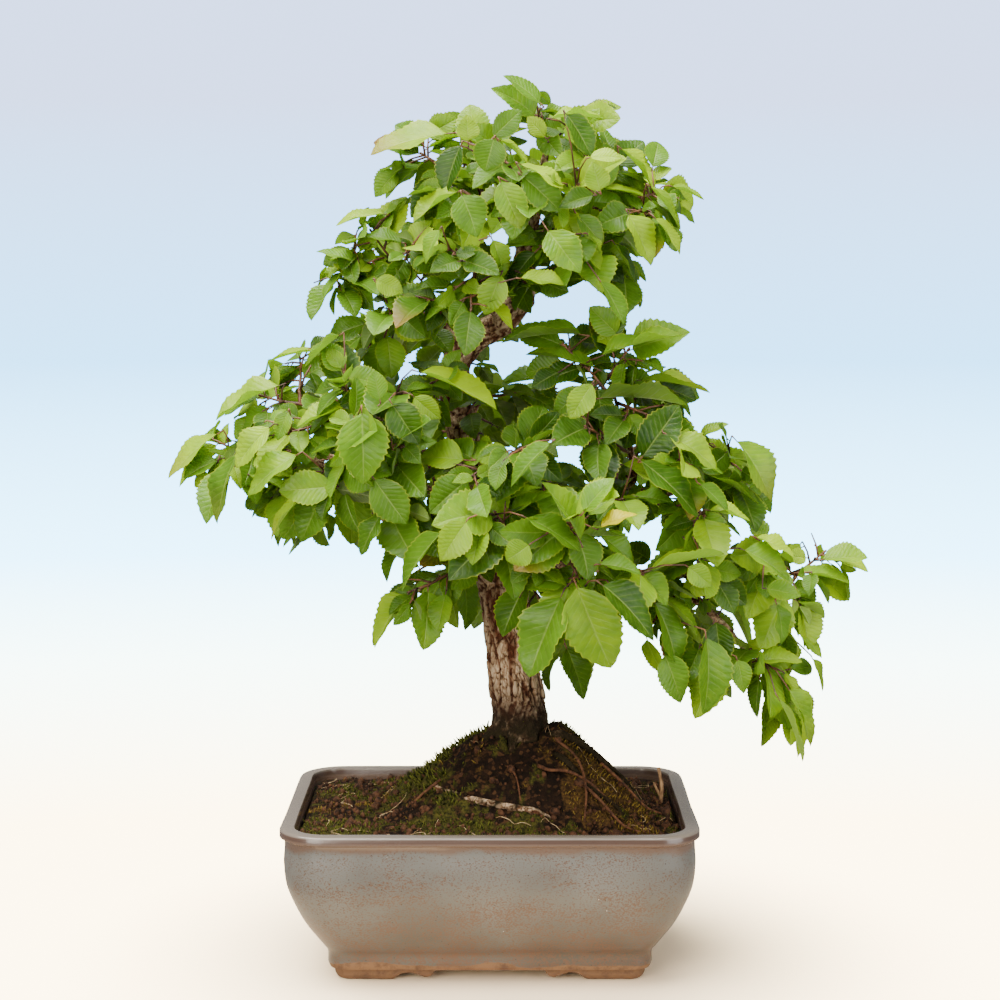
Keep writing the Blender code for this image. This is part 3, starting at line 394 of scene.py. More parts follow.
def makeBark():
    # old hornbeam bark: tan plates with brown cracks, and red-brown furrows between the ridges;
    # the relief is in the mesh, and the "crack" and "furrow" attributes carry its height
    material, tree = newMaterial("hornbeamBark")
    spot = addNode(tree, "TexCoord").outputs["Object"]
    height = addNode(tree, "SeparateXYZ", {0: spot}).outputs["Z"]
    crack, furrow, pale = [addNode(tree, "Attribute", {"attribute_name": name}).outputs["Fac"]
                           for name in ("crack", "furrow", "pale")]
    long = addNode(tree, "Mapping", {"Scale": (1.0, 1.0, 0.5), "Vector": spot})
    fibre = addNode(tree, "TexNoise", {"Scale": perMm(1.0), "Detail": 5.0, "Roughness": 0.7,
                                       "Vector": long})
    patch = addNode(tree, "TexNoise", {"Scale": perMm(8), "Detail": 4.0, "Roughness": 0.6,
                                       "Vector": spot})
    # a net of fine cracks round flakes 2 to 3 mm wide
    bent = addNode(tree, "VectorMath", {"operation": "MULTIPLY_ADD", 0: fibre.outputs["Color"],
                                        1: (0.0016,) * 3, 2: long})
    flakes = addNode(tree, "TexVoronoi", {"feature": "DISTANCE_TO_EDGE", "Scale": perMm(2.9),
                                          "Vector": bent})
    net = addNode(tree, "MapRange", {"Value": flakes, "From Min": 0.01, "From Max": 0.1,
                                     "To Min": -0.34, "To Max": 0.04})
    relief = addNode(tree, "Math", {"operation": "MULTIPLY_ADD", 0: fibre, 1: 0.75, 2: crack})
    relief = addNode(tree, "Math", {"operation": "ADD", 0: relief, 1: net})
    layers = []
    for name, start, end, most in (("inner", 0.42, 0.75, 1.0), ("plate", 0.68, 1.02, 1.0),
                                   ("crest", 1.05, 1.4, 0.85)):
        share = addNode(tree, "MapRange", {"Value": relief, "From Min": start, "From Max": end,
                                           "To Max": most})
        layers.append((share, linear(bark[name])))
    red = addNode(tree, "Mix", {"data_type": "RGBA", 0: fibre, 6: linear(bark["fissure"]),
                                7: linear(bark["red"])})
    patchy = addNode(tree, "MapRange", {"Value": patch, "From Min": 0.3, "From Max": 0.55,
                                        "To Max": 0.9})
    layers.append((addNode(tree, "Math", {"operation": "MULTIPLY", 0: furrow, 1: patchy}), red))
    # painted shade: where "pale" is low, on the foot of the trunk and the roots, the bark takes the
    # shade colour
    dark = addNode(tree, "MapRange", {"Value": pale, "From Min": 0.5, "From Max": 0.0,
                                      "To Max": 0.85})
    layers.append((dark, linear(bark["shade"])))
    bleach = addNode(tree, "MapRange", {"Value": pale, "From Min": 0.6, "From Max": 1.0,
                                        "To Max": 0.75})
    raised = addNode(tree, "MapRange", {"Value": relief, "From Min": 0.75, "From Max": 1.2})
    bleached = addNode(tree, "Math", {"operation": "MULTIPLY", 0: bleach, 1: raised})
    layers.append((bleached, linear(bark["rootPale"])))
    # the foot of the trunk is damp, with moss in its cracks, and painted shade darkens it with the
    # shade colour; the front root is dry
    notBleached = addNode(tree, "MapRange", {"Value": pale, "From Min": 0.95, "From Max": 0.6})
    spread = addNode(tree, "MapRange", {"Value": patch, "From Min": 0.2, "From Max": 0.5})
    for name, drop, share in (("shade", 26.0, 1.2), ("moss", 8.0, 0.15)):
        wet = addNode(tree, "MapRange", {"Value": height, "To Max": share,
                                         "From Min": (bark["mossTop"] + drop) * mm,
                                         "From Max": (bark["mossTop"] - 2) * mm})
        damp = addNode(tree, "Math", {"operation": "MULTIPLY", "use_clamp": True, 0: spread,
                                      1: wet})
        damp = addNode(tree, "Math", {"operation": "MULTIPLY", 0: damp, 1: notBleached})
        layers.append((damp, linear(bark[name])))
    colour = linear(bark["fissure"])
    for share, over in layers:
        colour = addNode(tree, "Mix", {"data_type": "RGBA", 0: share, 6: colour, 7: over})
    bump = addNode(tree, "Bump", {"Strength": 0.9, "Distance": 0.0008, "Height": relief})
    shader = addNode(tree, "BsdfPrincipled", {"Roughness": 0.86, "Specular IOR Level": 0.12,
                                              "Base Color": colour, "Normal": bump})
    addNode(tree, "OutputMaterial", {"Surface": shader})
    return material


def makeTwigBark():
    # this year's wood: thin, smooth and red-brown, with pale pores
    material, tree = newMaterial("youngTwigBark")
    spot = addNode(tree, "TexCoord").outputs["Object"]
    tone = addNode(tree, "TexNoise", {"Scale": perMm(7), "Detail": 3.0, "Vector": spot})
    share = addNode(tree, "MapRange", {"From Min": 0.38, "From Max": 0.66, "Value": tone})
    colour = addNode(tree, "Mix", {"data_type": "RGBA", 6: linear("#3E2416"), 7: linear("#74492C"),
                                   0: share})
    pores = addNode(tree, "TexVoronoi", {"Scale": perMm(1.3), "Vector": spot})
    pore = addNode(tree, "MapRange", {"From Min": 0.2, "From Max": 0.12, "To Max": 0.4,
                                      "Value": pores.outputs["Distance"]})
    colour = addNode(tree, "Mix", {"data_type": "RGBA", 7: linear("#9C8060"), 0: pore, 6: colour})
    shader = addNode(tree, "BsdfPrincipled", {"Roughness": 0.6, "Base Color": colour})
    addNode(tree, "OutputMaterial", {"Surface": shader})
    return material


leafLook = {
    "veinPairs": 10, "veinSlant": 0.2, "deep": "#20400C", "mid": "#638D1F", "bright": "#A6C40C",
    "vein": "#B4C96A", "rim": "#CBD040", "glow": "#CFF020", "bronze": "#9C6431",
    "back": "#8C9A62", "backVein": "#B9C08E", "yellow": "#D6C410",
}


def makeLeaf(name, under):
    # a thin hornbeam leaf: satin above with sunken veins, matte and paler below; light from behind
    # shines through it yellow-green. "tone" goes from old dark leaf to young bright leaf, and also
    # carries painted shade and light: lower within the crown, higher at its top and outside.
    material, tree = newMaterial(name)
    split = addNode(tree, "SeparateXYZ", {0: addNode(tree, "UVMap", {"uv_map": "blade"})})
    lengthwise = split.outputs["X"]
    tone, aged = [addNode(tree, "Attribute", {"attribute_name": layer}).outputs["Fac"]
                  for layer in ("tone", "bronze")]
    out = addNode(tree, "Math", {"operation": "ABSOLUTE", 0: split.outputs["Y"]})
    # the side veins slant forward from the midrib to the teeth
    slant, turns = leafLook["veinSlant"], 2 * math.pi * leafLook["veinPairs"]
    slanted = addNode(tree, "Math", {"operation": "MULTIPLY_ADD", 0: out, 1: -slant,
                                     2: lengthwise})
    rows = addNode(tree, "Math", {"operation": "MULTIPLY_ADD", 0: slanted, 1: turns,
                                  2: turns * slant})
    wave = addNode(tree, "Math", {"operation": "COSINE", 0: rows})
    sideVein = addNode(tree, "MapRange", {"Value": wave, "From Min": -0.84, "From Max": -0.99})
    midVein = addNode(tree, "MapRange", {"Value": out, "From Min": 0.06, "From Max": 0.02})
    fade = addNode(tree, "MapRange", {"Value": out, "From Min": 1.0, "From Max": 0.4,
                                      "To Max": 0.45})
    sideVein = addNode(tree, "Math", {"operation": "MULTIPLY", 0: sideVein, 1: fade})
    vein = addNode(tree, "Math", {"operation": "MAXIMUM", 0: sideVein, 1: midVein})
    spot = addNode(tree, "TexCoord").outputs["Object"]
    mottle = addNode(tree, "TexNoise", {"Scale": perMm(6), "Detail": 3.0, "Vector": spot})
    dimples = addNode(tree, "TexNoise", {"Scale": perMm(2.6), "Detail": 1.0, "Vector": spot})
    shifted = addNode(tree, "Math", {"operation": "MULTIPLY_ADD", 0: mottle, 1: 0.5, 2: -0.25})
    toned = addNode(tree, "Math", {"operation": "ADD", "use_clamp": True, 0: shifted, 1: tone})
    # painted light and shade: these shares follow the tone, so shaded leaves within the crown take
    # the deep colour and lit ones at the top and outside the bright one, besides the leaf's age
    midShare = addNode(tree, "MapRange", {"Value": toned, "From Min": 0.0, "From Max": 0.5})
    brightShare = addNode(tree, "MapRange", {"Value": toned, "From Min": 0.5, "From Max": 1.0})
    veinShare = addNode(tree, "Math", {"operation": "MULTIPLY", 0: vein,
                                       1: 0.6 if under else 0.36})
    # painted light: the pale yellow-green margin is partly the margin's own colour and partly
    # painted light shining through the thin edge
    rim = addNode(tree, "MapRange", {"Value": out, "From Min": 0.93, "From Max": 1.0,
                                     "To Max": 0.6})
    tip = addNode(tree, "MapRange", {"Value": lengthwise, "From Min": 0.45, "From Max": 1.0})
    bronzed = addNode(tree, "Math", {"operation": "MULTIPLY", 0: aged, 1: tip})
    fading = addNode(tree, "MapRange", {"Value": tone, "From Min": 1.1, "From Max": 1.5})
    colour = linear(leafLook["deep"])
    for share, layer in ((midShare, "mid"), (brightShare, "bright"), (0.5 if under else 0.0, "back"),
                         (veinShare, "backVein" if under else "vein"), (rim, "rim"),
                         (bronzed, "bronze"), (fading, "yellow")):
        colour = addNode(tree, "Mix", {"data_type": "RGBA", 0: share, 6: colour,
                                       7: linear(leafLook[layer])})
    # each half of the blade is arched between the midrib and the margin, and dimpled all over
    side = 1 if under else -1
    sunk = addNode(tree, "Math", {"operation": "MULTIPLY", 0: vein, 1: 0.7 * side})
    puff = addNode(tree, "Math", {"operation": "MULTIPLY_ADD", 0: wave, 1: 0.2, 2: sunk})
    arch = addNode(tree, "Math", {"operation": "POWER", 0: out, 1: 2.0})
    arched = addNode(tree, "Math", {"operation": "MULTIPLY_ADD", 0: arch, 1: 3.6 * side, 2: puff})
    dimpled = addNode(tree, "Math", {"operation": "MULTIPLY_ADD", 0: dimples, 1: 1.6, 2: arched})
    bump = addNode(tree, "Bump", {"Strength": 0.8, "Distance": 0.0002, "Height": dimpled})
    shader = addNode(tree, "BsdfPrincipled", {"Roughness": 0.62 if under else 0.36,
                                              "Specular IOR Level": 0.3, "Base Color": colour,
                                              "Normal": bump})
    shine = addNode(tree, "Mix", {"data_type": "RGBA", 0: 0.62, 6: colour,
                                  7: linear(leafLook["glow"])})
    through = addNode(tree, "BsdfTranslucent", {"Color": shine, "Normal": bump})
    both = addNode(tree, "MixShader", {0: 0.5, 1: shader, 2: through})
    addNode(tree, "OutputMaterial", {"Surface": both})
    return material


ground = {
    "wet": "#0C0704", "loam": "#1E120A", "crumb": "#3C2818", "rust": "#5A2E1B",
    "moss": "#181A08", "mossLight": "#403C16", "dry": "#4A3519", "dryDark": "#1E140A",
}


def makeSoilMaterial():
    # damp mineral soil, dark between crumbs, with green and ochre moss by the attributes
    material, tree = newMaterial("dampSoil")
    spot = addNode(tree, "TexCoord").outputs["Object"]
    clods = addNode(tree, "TexNoise", {"Scale": perMm(4), "Detail": 5.0, "Roughness": 0.7,
                                       "Vector": spot})
    grit = addNode(tree, "TexVoronoi", {"Scale": perMm(1.6), "Vector": spot})
    wetness = addNode(tree, "MapRange", {"From Min": 0.38, "From Max": 0.66, "Value": clods})
    colour = addNode(tree, "Mix", {"data_type": "RGBA", 6: linear(ground["wet"]),
                                   7: linear(ground["loam"]), 0: wetness})
    bits = addNode(tree, "SeparateColor", {0: grit.outputs["Color"]})
    lit = addNode(tree, "MapRange", {"From Min": 0.72, "From Max": 0.95, "To Max": 0.8,
                                     "Value": bits})
    colour = addNode(tree, "Mix", {"data_type": "RGBA", 7: linear(ground["crumb"]), 0: lit,
                                   6: colour})
    fibre = addNode(tree, "TexNoise", {"Scale": perMm(1.2), "Detail": 4.0, "Vector": spot})
    fine = addNode(tree, "MapRange", {"From Min": 0.35, "From Max": 0.65, "Value": fibre})
    for name, first, second in (("moss", "moss", "mossLight"), ("dry", "dryDark", "dry")):
        cover = addNode(tree, "Attribute", {"attribute_name": name}).outputs["Fac"]
        carpet = addNode(tree, "Mix", {"data_type": "RGBA", 6: linear(ground[first]),
                                       7: linear(ground[second]), 0: fine})
        rough = addNode(tree, "Math", {"operation": "MULTIPLY_ADD", 1: 0.9, 2: -0.3, 0: clods})
        edge = addNode(tree, "Math", {"operation": "ADD", 0: cover, 1: rough})
        share = addNode(tree, "MapRange", {"From Min": 0.45, "From Max": 0.7, "To Max": 0.92,
                                           "Value": edge})
        colour = addNode(tree, "Mix", {"data_type": "RGBA", 0: share, 6: colour, 7: carpet})
    bump = addNode(tree, "Bump", {"Strength": 0.9, "Distance": 0.0008, "Height": clods})
    fineBump = addNode(tree, "Bump", {"Strength": 0.7, "Distance": 0.0004,
                                      "Height": grit.outputs["Distance"], "Normal": bump})
    shader = addNode(tree, "BsdfPrincipled", {"Roughness": 0.88, "Specular IOR Level": 0.08,
                                              "Base Color": colour, "Normal": fineBump})
    addNode(tree, "OutputMaterial", {"Surface": shader})
    return material


def makeGrained(name, first, second, size, roughness, stretch=(1.0, 1.0, 1.0)):
    # two tones of one stuff, mixed by a noise of the size of its own grain, in mm
    material, tree = newMaterial(name)
    spot = addNode(tree, "TexCoord").outputs["Object"]
    turned = addNode(tree, "Mapping", {"Scale": stretch, "Vector": spot})
    grain = addNode(tree, "TexNoise", {"Scale": perMm(size), "Detail": 4.0, "Roughness": 0.65,
                                       "Vector": turned})
    share = addNode(tree, "MapRange", {"From Min": 0.36, "From Max": 0.64, "Value": grain})
    colour = addNode(tree, "Mix", {"data_type": "RGBA", 6: linear(first), 7: linear(second),
                                   0: share})
    bump = addNode(tree, "Bump", {"Strength": 0.5, "Distance": size * mm * 0.2, "Height": grain})
    shader = addNode(tree, "BsdfPrincipled", {"Roughness": roughness, "Specular IOR Level": 0.15,
                                              "Base Color": colour, "Normal": bump})
    addNode(tree, "OutputMaterial", {"Surface": shader})
    return material


def addPiece(name, bm, materials, replaced=()):
    mesh = meshOf(bm, name)
    for material in materials:
        mesh.materials.append(material)
    mesh.polygons.foreach_set("use_smooth", [True] * len(mesh.polygons))
    piece = linked(name, mesh)
    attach(piece, "root")
    if replaced:
        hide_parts(*replaced)
    return piece


def copyNode(name):
    bm = bmesh.new()
    bm.from_mesh(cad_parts[name].data)
    bmesh.ops.remove_doubles(bm, verts=bm.verts, dist=0.00001)
    return bm


def throughModifiers(bm, modifiers):
    # runs the modifiers on the shape and gives back the result
    work = linked("work", meshOf(bm))
    for kind, settings in modifiers:
        modifier = work.modifiers.new(kind.lower(), kind)
        for key, value in settings.items():
            setattr(modifier, key, value)
    mesh = evaluated(work)
    done = bmesh.new()
    done.from_mesh(mesh)
    bpy.data.objects.remove(work)
    bpy.data.meshes.remove(mesh)
    return done


def remeshed(bm, voxel, smoothings):
    return throughModifiers(bm, [("REMESH", {"mode": "VOXEL", "voxel_size": voxel * mm}),
                                 ("SMOOTH", {"factor": 0.5, "iterations": smoothings})])


def addTubes(bm, routes, sides, materialIndex=0):
    # each route is a list of places in metres and radii in mm; its ends are closed
    curve = bpy.data.curves.new("routes", "CURVE")
    curve.dimensions = "3D"
    curve.bevel_depth = mm
    curve.bevel_resolution = sides // 2 - 2
    curve.use_fill_caps = True
    for route in routes:
        spline = curve.splines.new("POLY")
        spline.points.add(len(route) - 1)
        for knot, (point, radius) in zip(spline.points, route):
            knot.co = (*point, 1.0)
            knot.radius = radius
    guide = linked("routes", curve)
    mesh = evaluated(guide)
    bpy.data.objects.remove(guide)
    bpy.data.curves.remove(curve)
    tubes = bmesh.new()
    tubes.from_mesh(mesh)
    bpy.data.meshes.remove(mesh)
    bmesh.ops.remove_doubles(tubes, verts=tubes.verts, dist=0.000001)
    for face in tubes.faces:
        face.material_index = materialIndex
    bmesh.ops.recalc_face_normals(tubes, faces=tubes.faces)
    pour(tubes, bm)


def smoothRoute(points, spacing):
    # a Catmull-Rom line through the points, with a place every few mm
    points = [Vector(point) for point in points]
    ends = [points[0] * 2 - points[1], *points, points[-1] * 2 - points[-2]]
    route = []
    for a, b, c, d in zip(ends, ends[1:], ends[2:], ends[3:]):
        steps = max(1, round((c - b).length / spacing))
        for step in range(steps):
            t = step / steps
            route.append(0.5 * (2 * b + (c - a) * t + (2 * a - 5 * b + 4 * c - d) * t * t
                                + (3 * b - a - 3 * c + d) * t ** 3))
    return route + [points[-1]]


def taper(start, end, share):
    return end + (start - end) * (1.0 - share) ** 1.25


def along(route, share):
    points = [Vector(point[:3]) for point in route]
    spans = [(b - a).length for a, b in zip(points, points[1:])]
    left = share * sum(spans)
    for a, b, span in zip(points, points[1:], spans):
        if left <= span + 1e-6:
            return a.lerp(b, min(1.0, left / span)), (b - a).normalized()
        left -= span
    return points[-1], (points[-1] - points[-2]).normalized()


class WoodLines:
    # the middle lines of all the wood, to look up the nearest one and its radius

    def __init__(self):
        self.samples = []
        self.addLine("trunk", [row[:3] for row in trunkLine], [row[3] for row in trunkLine])
        for table in (limbs, roots):
            for name, (start, end, points) in table.items():
                last = len(points) - 1
                self.addLine(name, points, [taper(start, end, i / last) for i in range(last + 1)])
        self.tree = searchTree([sample[0] for sample in self.samples])

    def addLine(self, name, points, radii):
        points = [Vector(point) for point in points]
        run = 0.0
        sideways = None
        for a, b, first, last in zip(points, points[1:], radii, radii[1:]):
            heading = (b - a).normalized()
            if sideways is None:
                sideways = heading.orthogonal().normalized()
            sideways = (sideways - heading * sideways.dot(heading)).normalized()
            steps = max(1, round((b - a).length / barkShape["sampleEvery"]))
            for step in range(steps):
                share = step / steps
                self.samples.append((a.lerp(b, share), heading, sideways.copy(),
                                     heading.cross(sideways), run + (b - a).length * share,
                                     first + (last - first) * share, name))
            run += (b - a).length

    def near(self, point):
        return self.samples[self.tree.find(point)[1]]


barkShape = {
    "voxel": 0.95, "smoothings": 3, "fineFrom": 8.0, "ridge": (5.4, 24.0), "plate": (2.1, 3.8),
    "depthShare": 0.15, "deepest": 1.7, "shallowest": 0.12, "sampleEvery": 1.5,
    # the share of the ridges and the plates in the relief, and the height that stays in place
    "ridgeShare": 0.55, "plateShare": 0.45, "level": 0.62, "swell": 0.05,
    # the painted shade on the damp foot of the trunk and on the roots ends between these heights
    "dampShadeBetween": (98, 124), "dampShadeBelow": 145,
}


def barkHeight(sample, point):
    # broad ridges that run up the wood, and a net of small plates on them
    centre, heading, side, other, run, radius, name = sample
    away = point - centre
    scale = 0.45 + 0.55 * min(1.0, radius / 9)
    q = Vector((away.dot(side), away.dot(other), 0)) / scale
    up = (run + away.dot(heading)) / scale + len(name) * 31
    warp = noise.noise_vector(Vector((q.x / 5, q.y / 5, up / 11)))
    wide, tall = barkShape["ridge"]
    broad = noise.noise(Vector((q.x / wide, q.y / wide, up / tall)) + warp * 0.3)
    ridge = smoothStep(0.03, 0.26, abs(broad))
    wide, tall = barkShape["plate"]
    small = noise.noise(Vector((q.x / wide + 31, q.y / wide, up / tall)) + warp * 0.7)
    return ridge, smoothStep(0.0, 0.26, abs(small))


def makeTrunk(material, lines):
    bm = remeshed(copyNode("trunk"), barkShape["voxel"], barkShape["smoothings"])
    thick = [face for face in bm.faces
             if lines.near(unplace(face.calc_center_median()))[5] > barkShape["fineFrom"]]
    edges = list({edge for face in thick for edge in face.edges})
    bmesh.ops.subdivide_edges(bm, edges=edges, cuts=1, use_grid_fill=True)
    bmesh.ops.triangulate(bm, faces=[face for face in bm.faces if len(face.verts) > 4])
    layers = bm.verts.layers.float
    crack, furrow, pale = [layers.new(name) for name in ("crack", "furrow", "pale")]
    bm.normal_update()
    for vertex in bm.verts:
        point = unplace(vertex.co)
        sample = lines.near(point)
        radius = sample[5]
        ridge, plate = barkHeight(sample, point)
        relief = barkShape["ridgeShare"] * ridge + barkShape["plateShare"] * plate
        depth = min(barkShape["deepest"], radius * barkShape["depthShare"])
        depth = max(barkShape["shallowest"], depth)
        swell = noise.noise(point * 0.09) * barkShape["swell"] * radius
        vertex.co += vertex.normal * (depth * (relief - barkShape["level"]) + swell) * mm
        vertex[crack], vertex[furrow] = relief, 1 - ridge
        rough = noise.noise(point * 0.16) * 14 + noise.noise(point * 0.5) * 6
        # painted shade: lower down, the foot of the trunk and the roots get a low "pale", which the
        # bark paints with its shade colour; the front root stays pale
        lit = 1.0
        if point.z < barkShape["dampShadeBelow"]:
            lit = smoothStep(*barkShape["dampShadeBetween"], point.z + rough)
        dry = 0.78 + 0.3 * noise.noise(point * 0.22) + 0.25 * noise.noise(point * 0.7)
        vertex[pale] = dry if sample[6] == "front_root" else 0.06 + 0.49 * lit
    print("trunk", len(bm.faces), "faces")
    return addPiece("bark_and_limbs", bm, [material], ["trunk"])


leafShape = {
    "rows": 20, "petiole": 0.1, "slant": 0.09, "tooth": 0.07, "gap": 0.035, "thick": 0.32,
    "fold": 0.34, "foldVaries": 0.14, "curl": 0.22, "curlVaries": 0.08, "ripple": (0.4, 1.4),
    "sickle": 0.07, "twist": 0.26, "petioleRadius": 0.3,
    # how quickly each kind of blade widens and narrows again
    "outlines": ((0.5, 0.72), (0.6, 0.8), (0.46, 0.86)),
    # the corners of a coarse blade, as shares of its length and width
    "coarse": ((0.2, 0), (0.3, 0.36), (0.55, 0.44), (0.8, 0.26), (1.02, 0), (0.8, -0.26),
               (0.55, -0.44), (0.3, -0.36)),
}


def makeBlade(outline):
    # one flat blade, 1 long from petiole to tip and 1 wide to each side, with its teeth at the
    # ends of the veins; it is copied and bent for every leaf. Its two skins meet at the margin.
    grow, shrink = outline
    widest = grow / (grow + shrink)
    most = widest ** grow * (1 - widest) ** shrink
    rows = leafShape["rows"]
    bm = bmesh.new()
    bmesh.ops.create_grid(bm, x_segments=rows, y_segments=2, size=0.5)
    bmesh.ops.translate(bm, verts=bm.verts, vec=(0.5, 0, 0))
    chart = bm.loops.layers.uv.new("blade")
    for face in bm.faces:
        for loop in face.loops:
            loop[chart].uv = (loop.vert.co.x, loop.vert.co.y * 2)
    for vertex in bm.verts:
        share, across = vertex.co.x, round(vertex.co.y * 2)
        number = round(share * rows)
        tooth = number % 2 == 1
        wide = max(0.0, share * (1 - share)) and share ** grow * (1 - share) ** shrink / most
        if 0 < number < rows:
            wide *= 1 + (leafShape["tooth"] if tooth else -leafShape["gap"])
        slide = leafShape["slant"] * abs(across) * wide * (1 - share) * (1.35 if tooth else 1.0)
        vertex.co = (leafShape["petiole"] + (share + slide) * (1 - leafShape["petiole"]),
                     across * wide, 0)
    for edge in bm.edges:
        a, b = edge.verts
        edge.smooth = not (edge.is_boundary or a.co.y == b.co.y == 0)
    under = bmesh.ops.duplicate(bm, geom=bm.verts[:] + bm.edges[:] + bm.faces[:])["geom"]
    faces = [part for part in under if isinstance(part, bmesh.types.BMFace)]
    bmesh.ops.reverse_faces(bm, faces=faces)
    for face in faces:
        face.material_index = 1
    for part in under:
        if isinstance(part, bmesh.types.BMVert) and part.co.y == 0:
            part.co.z = -min(1.0, 9 * (part.co.x - leafShape["petiole"]), 9 * (1 - part.co.x))
    bmesh.ops.remove_doubles(bm, verts=bm.verts, dist=0.0001)
    return meshOf(bm)


def leafFrame(root, heading, face, roll):
    x = heading.normalized()
    z = (face - x * face.dot(x)).normalized()
    z = Matrix.Rotation(roll, 3, x) @ z
    y = z.cross(x)
    turned = Matrix((x, y, z)).transposed().to_4x4()
    turned.translation = place(root)
    return turned


canopy = {
    "heart": (8.0, 14.0), "faceSide": 1 / 220, "faceFront": 1 / 34, "faceMost": 0.75,
    "faceUp": 0.72, "sunk": 0.35, "spacing": 8.5, "furthestBack": 0.9, "spread": 56.0,
    "sizes": (0.88, 1.14), "wide": (0.58, 0.68), "stray": (-16, 16), "roll": (-32, 32),
    "sag": (-0.15, 0.2), "droop": 0.12, "droopBelow": 360.0, "droopMore": 0.003,
    "mostDroop": 0.72, "tries": 24, "shootRadius": 0.85, "forkReach": 6.0, "forkSunk": 2.5,
}


def facing(point):
    # leaves turn their faces up and away from the canopy's middle
    sideways = (point.x - canopy["heart"][0]) * canopy["faceSide"]
    most = canopy["faceMost"]
    forward = max(-most, min(most, (point.y - canopy["heart"][1]) * canopy["faceFront"]))
    return Vector((sideways, forward, canopy["faceUp"])).normalized()


def drooping(point):
    below = max(0.0, canopy["droopBelow"] - point.z)
    return min(canopy["mostDroop"], canopy["droop"] + canopy["droopMore"] * below)


def leafTries(spray, shoot, number, base, tip, length):
    # the same seeded tries as the solids' own leaves
    rng = random.Random(f"{spray} {shoot} {number}")
    run = (tip - base).normalized()
    back = min(canopy["spacing"] * number, canopy["furthestBack"] * (tip - base).length)
    back = back or canopy["sunk"]
    face = facing(tip)
    across = face.cross(run).normalized()
    side = 1.0 if (number + len(spray) + shoot) % 2 else -1.0
    spread = side * canopy["spread"] if number > 0 else 0.0
    for attempt in range(canopy["tries"]):
        stray = 1.0 + attempt / 8
        aim = math.radians(spread + rng.uniform(*canopy["stray"]) * stray)
        down = Vector((0, 0, drooping(tip) + rng.uniform(*canopy["sag"]) * stray))
        roll = math.radians(rng.uniform(*canopy["roll"]) * stray)
        size = length * rng.uniform(*canopy["sizes"]) * (1.0 - 0.15 * attempt / canopy["tries"])
        width = size * rng.uniform(*canopy["wide"])
        heading = run * math.cos(aim) + across * math.sin(aim) - down
        root = tip - run * back
        if number > 0:
            root += (heading - run * heading.dot(run)).normalized() * canopy["shootRadius"] / 2
        yield leafFrame(root, heading, face, roll), size, width


def shootsOf(spray):
    limb, share, _, tips = sprays[spray]
    route = trunkLine if limb == "trunk" else limbs[limb][2]
    start, heading = along(route, share)
    seat = start
    if share < 1.0:
        middle = sum((Vector(tip) for tip in tips), Vector()) / len(tips)
        heading = (middle - start).normalized()
        radius = 3.0 if limb == "trunk" else taper(*limbs[limb][:2], share)
        seat = start + heading * (radius + 5.0)
    fork = seat + heading * canopy["forkReach"]
    for number, tip in enumerate(tips):
        base = fork if number == 0 else fork - heading * canopy["forkSunk"]
        yield number, (seat - heading * 1.5 if number == 0 else base), base, Vector(tip)


class Occupied:
    # what stands in the canopy already, so that an added leaf is only put where there is room

    def __init__(self):
        self.shapes = []
        self.leaves = None

    def addNodeShape(self, name):
        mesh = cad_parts[name].data
        mesh.calc_loop_triangles()
        points = [vertex.co.copy() for vertex in mesh.vertices]
        faces = [tuple(t.vertices) for t in mesh.loop_triangles]
        self.shapes.append((*boundsOf(points), BVHTree.FromPolygons(points, faces)))

    def takes(self, matrix, length, width):
        # tests a coarse blade, and keeps its room if nothing is there
        points = []
        for u, w in leafShape["coarse"]:
            rise = leafShape["fold"] * abs(w) * width - leafShape["curl"] * length * u * u
            points.append(matrix @ (Vector((u * length, w * width, rise)) * mm))
        low, high = boundsOf(points)
        faces = [(0, i, i + 1) for i in range(1, 7)]
        tree = None
        for otherLow, otherHigh, other in self.shapes:
            if any(low[i] > otherHigh[i] or high[i] < otherLow[i] for i in range(3)):
                continue
            tree = tree or BVHTree.FromPolygons(points, faces)
            if tree.overlap(other):
                return False
        self.shapes.append((low, high, tree or BVHTree.FromPolygons(points, faces)))
        return True


def leafTone(point, rng):
    # young and bright at the top and the outside, old and dark within; this also paints light at
    # the top and the outside and shade within the crown
    out = (Vector((point.x - 8, (point.y - 5) * 1.3, (point.z - 250) * 0.8))).length / 120
    height = (point.z - 150) / 230
    return min(1.0, max(0.0, 0.01 + 0.4 * out * out + 0.22 * height + rng.gauss(0, 0.25)))


def addLeaf(bm, blades, matrix, length, width, rng, tone, bronze=0.0):
    # bends a copy of a blade: folded along its midrib, arched, and waved along its margin
    toneLayer = bm.verts.layers.float["tone"]
    bronzeLayer = bm.verts.layers.float["bronze"]
    start = len(bm.verts)
    bm.from_mesh(rng.choice(blades))
    bm.verts.ensure_lookup_table()
    shape = leafShape
    fold = shape["fold"] + rng.uniform(-1, 1.4) * shape["foldVaries"]
    curl = (shape["curl"] + rng.uniform(-1, 1) * shape["curlVaries"]) * length
    sickle = rng.uniform(-1, 1) * shape["sickle"] * length
    twist = rng.uniform(-1, 1) * shape["twist"]
    ripple = rng.uniform(*shape["ripple"]) * length / 26
    waves = rng.uniform(7, 13)
    phases = [rng.uniform(0, 6.3), rng.uniform(0, 6.3)]
    for vertex in bm.verts[start:]:
        u, w, lift = vertex.co
        across = w * width / 2
        rise = fold * abs(across) - curl * u * u + lift * shape["thick"] + twist * across * u
        rise += ripple * abs(w) * math.sin(waves * u + phases[w > 0])
        vertex.co = matrix @ (Vector((u * length, across + sickle * u * u, rise)) * mm)
        vertex[toneLayer] = tone
        vertex[bronzeLayer] = bronze


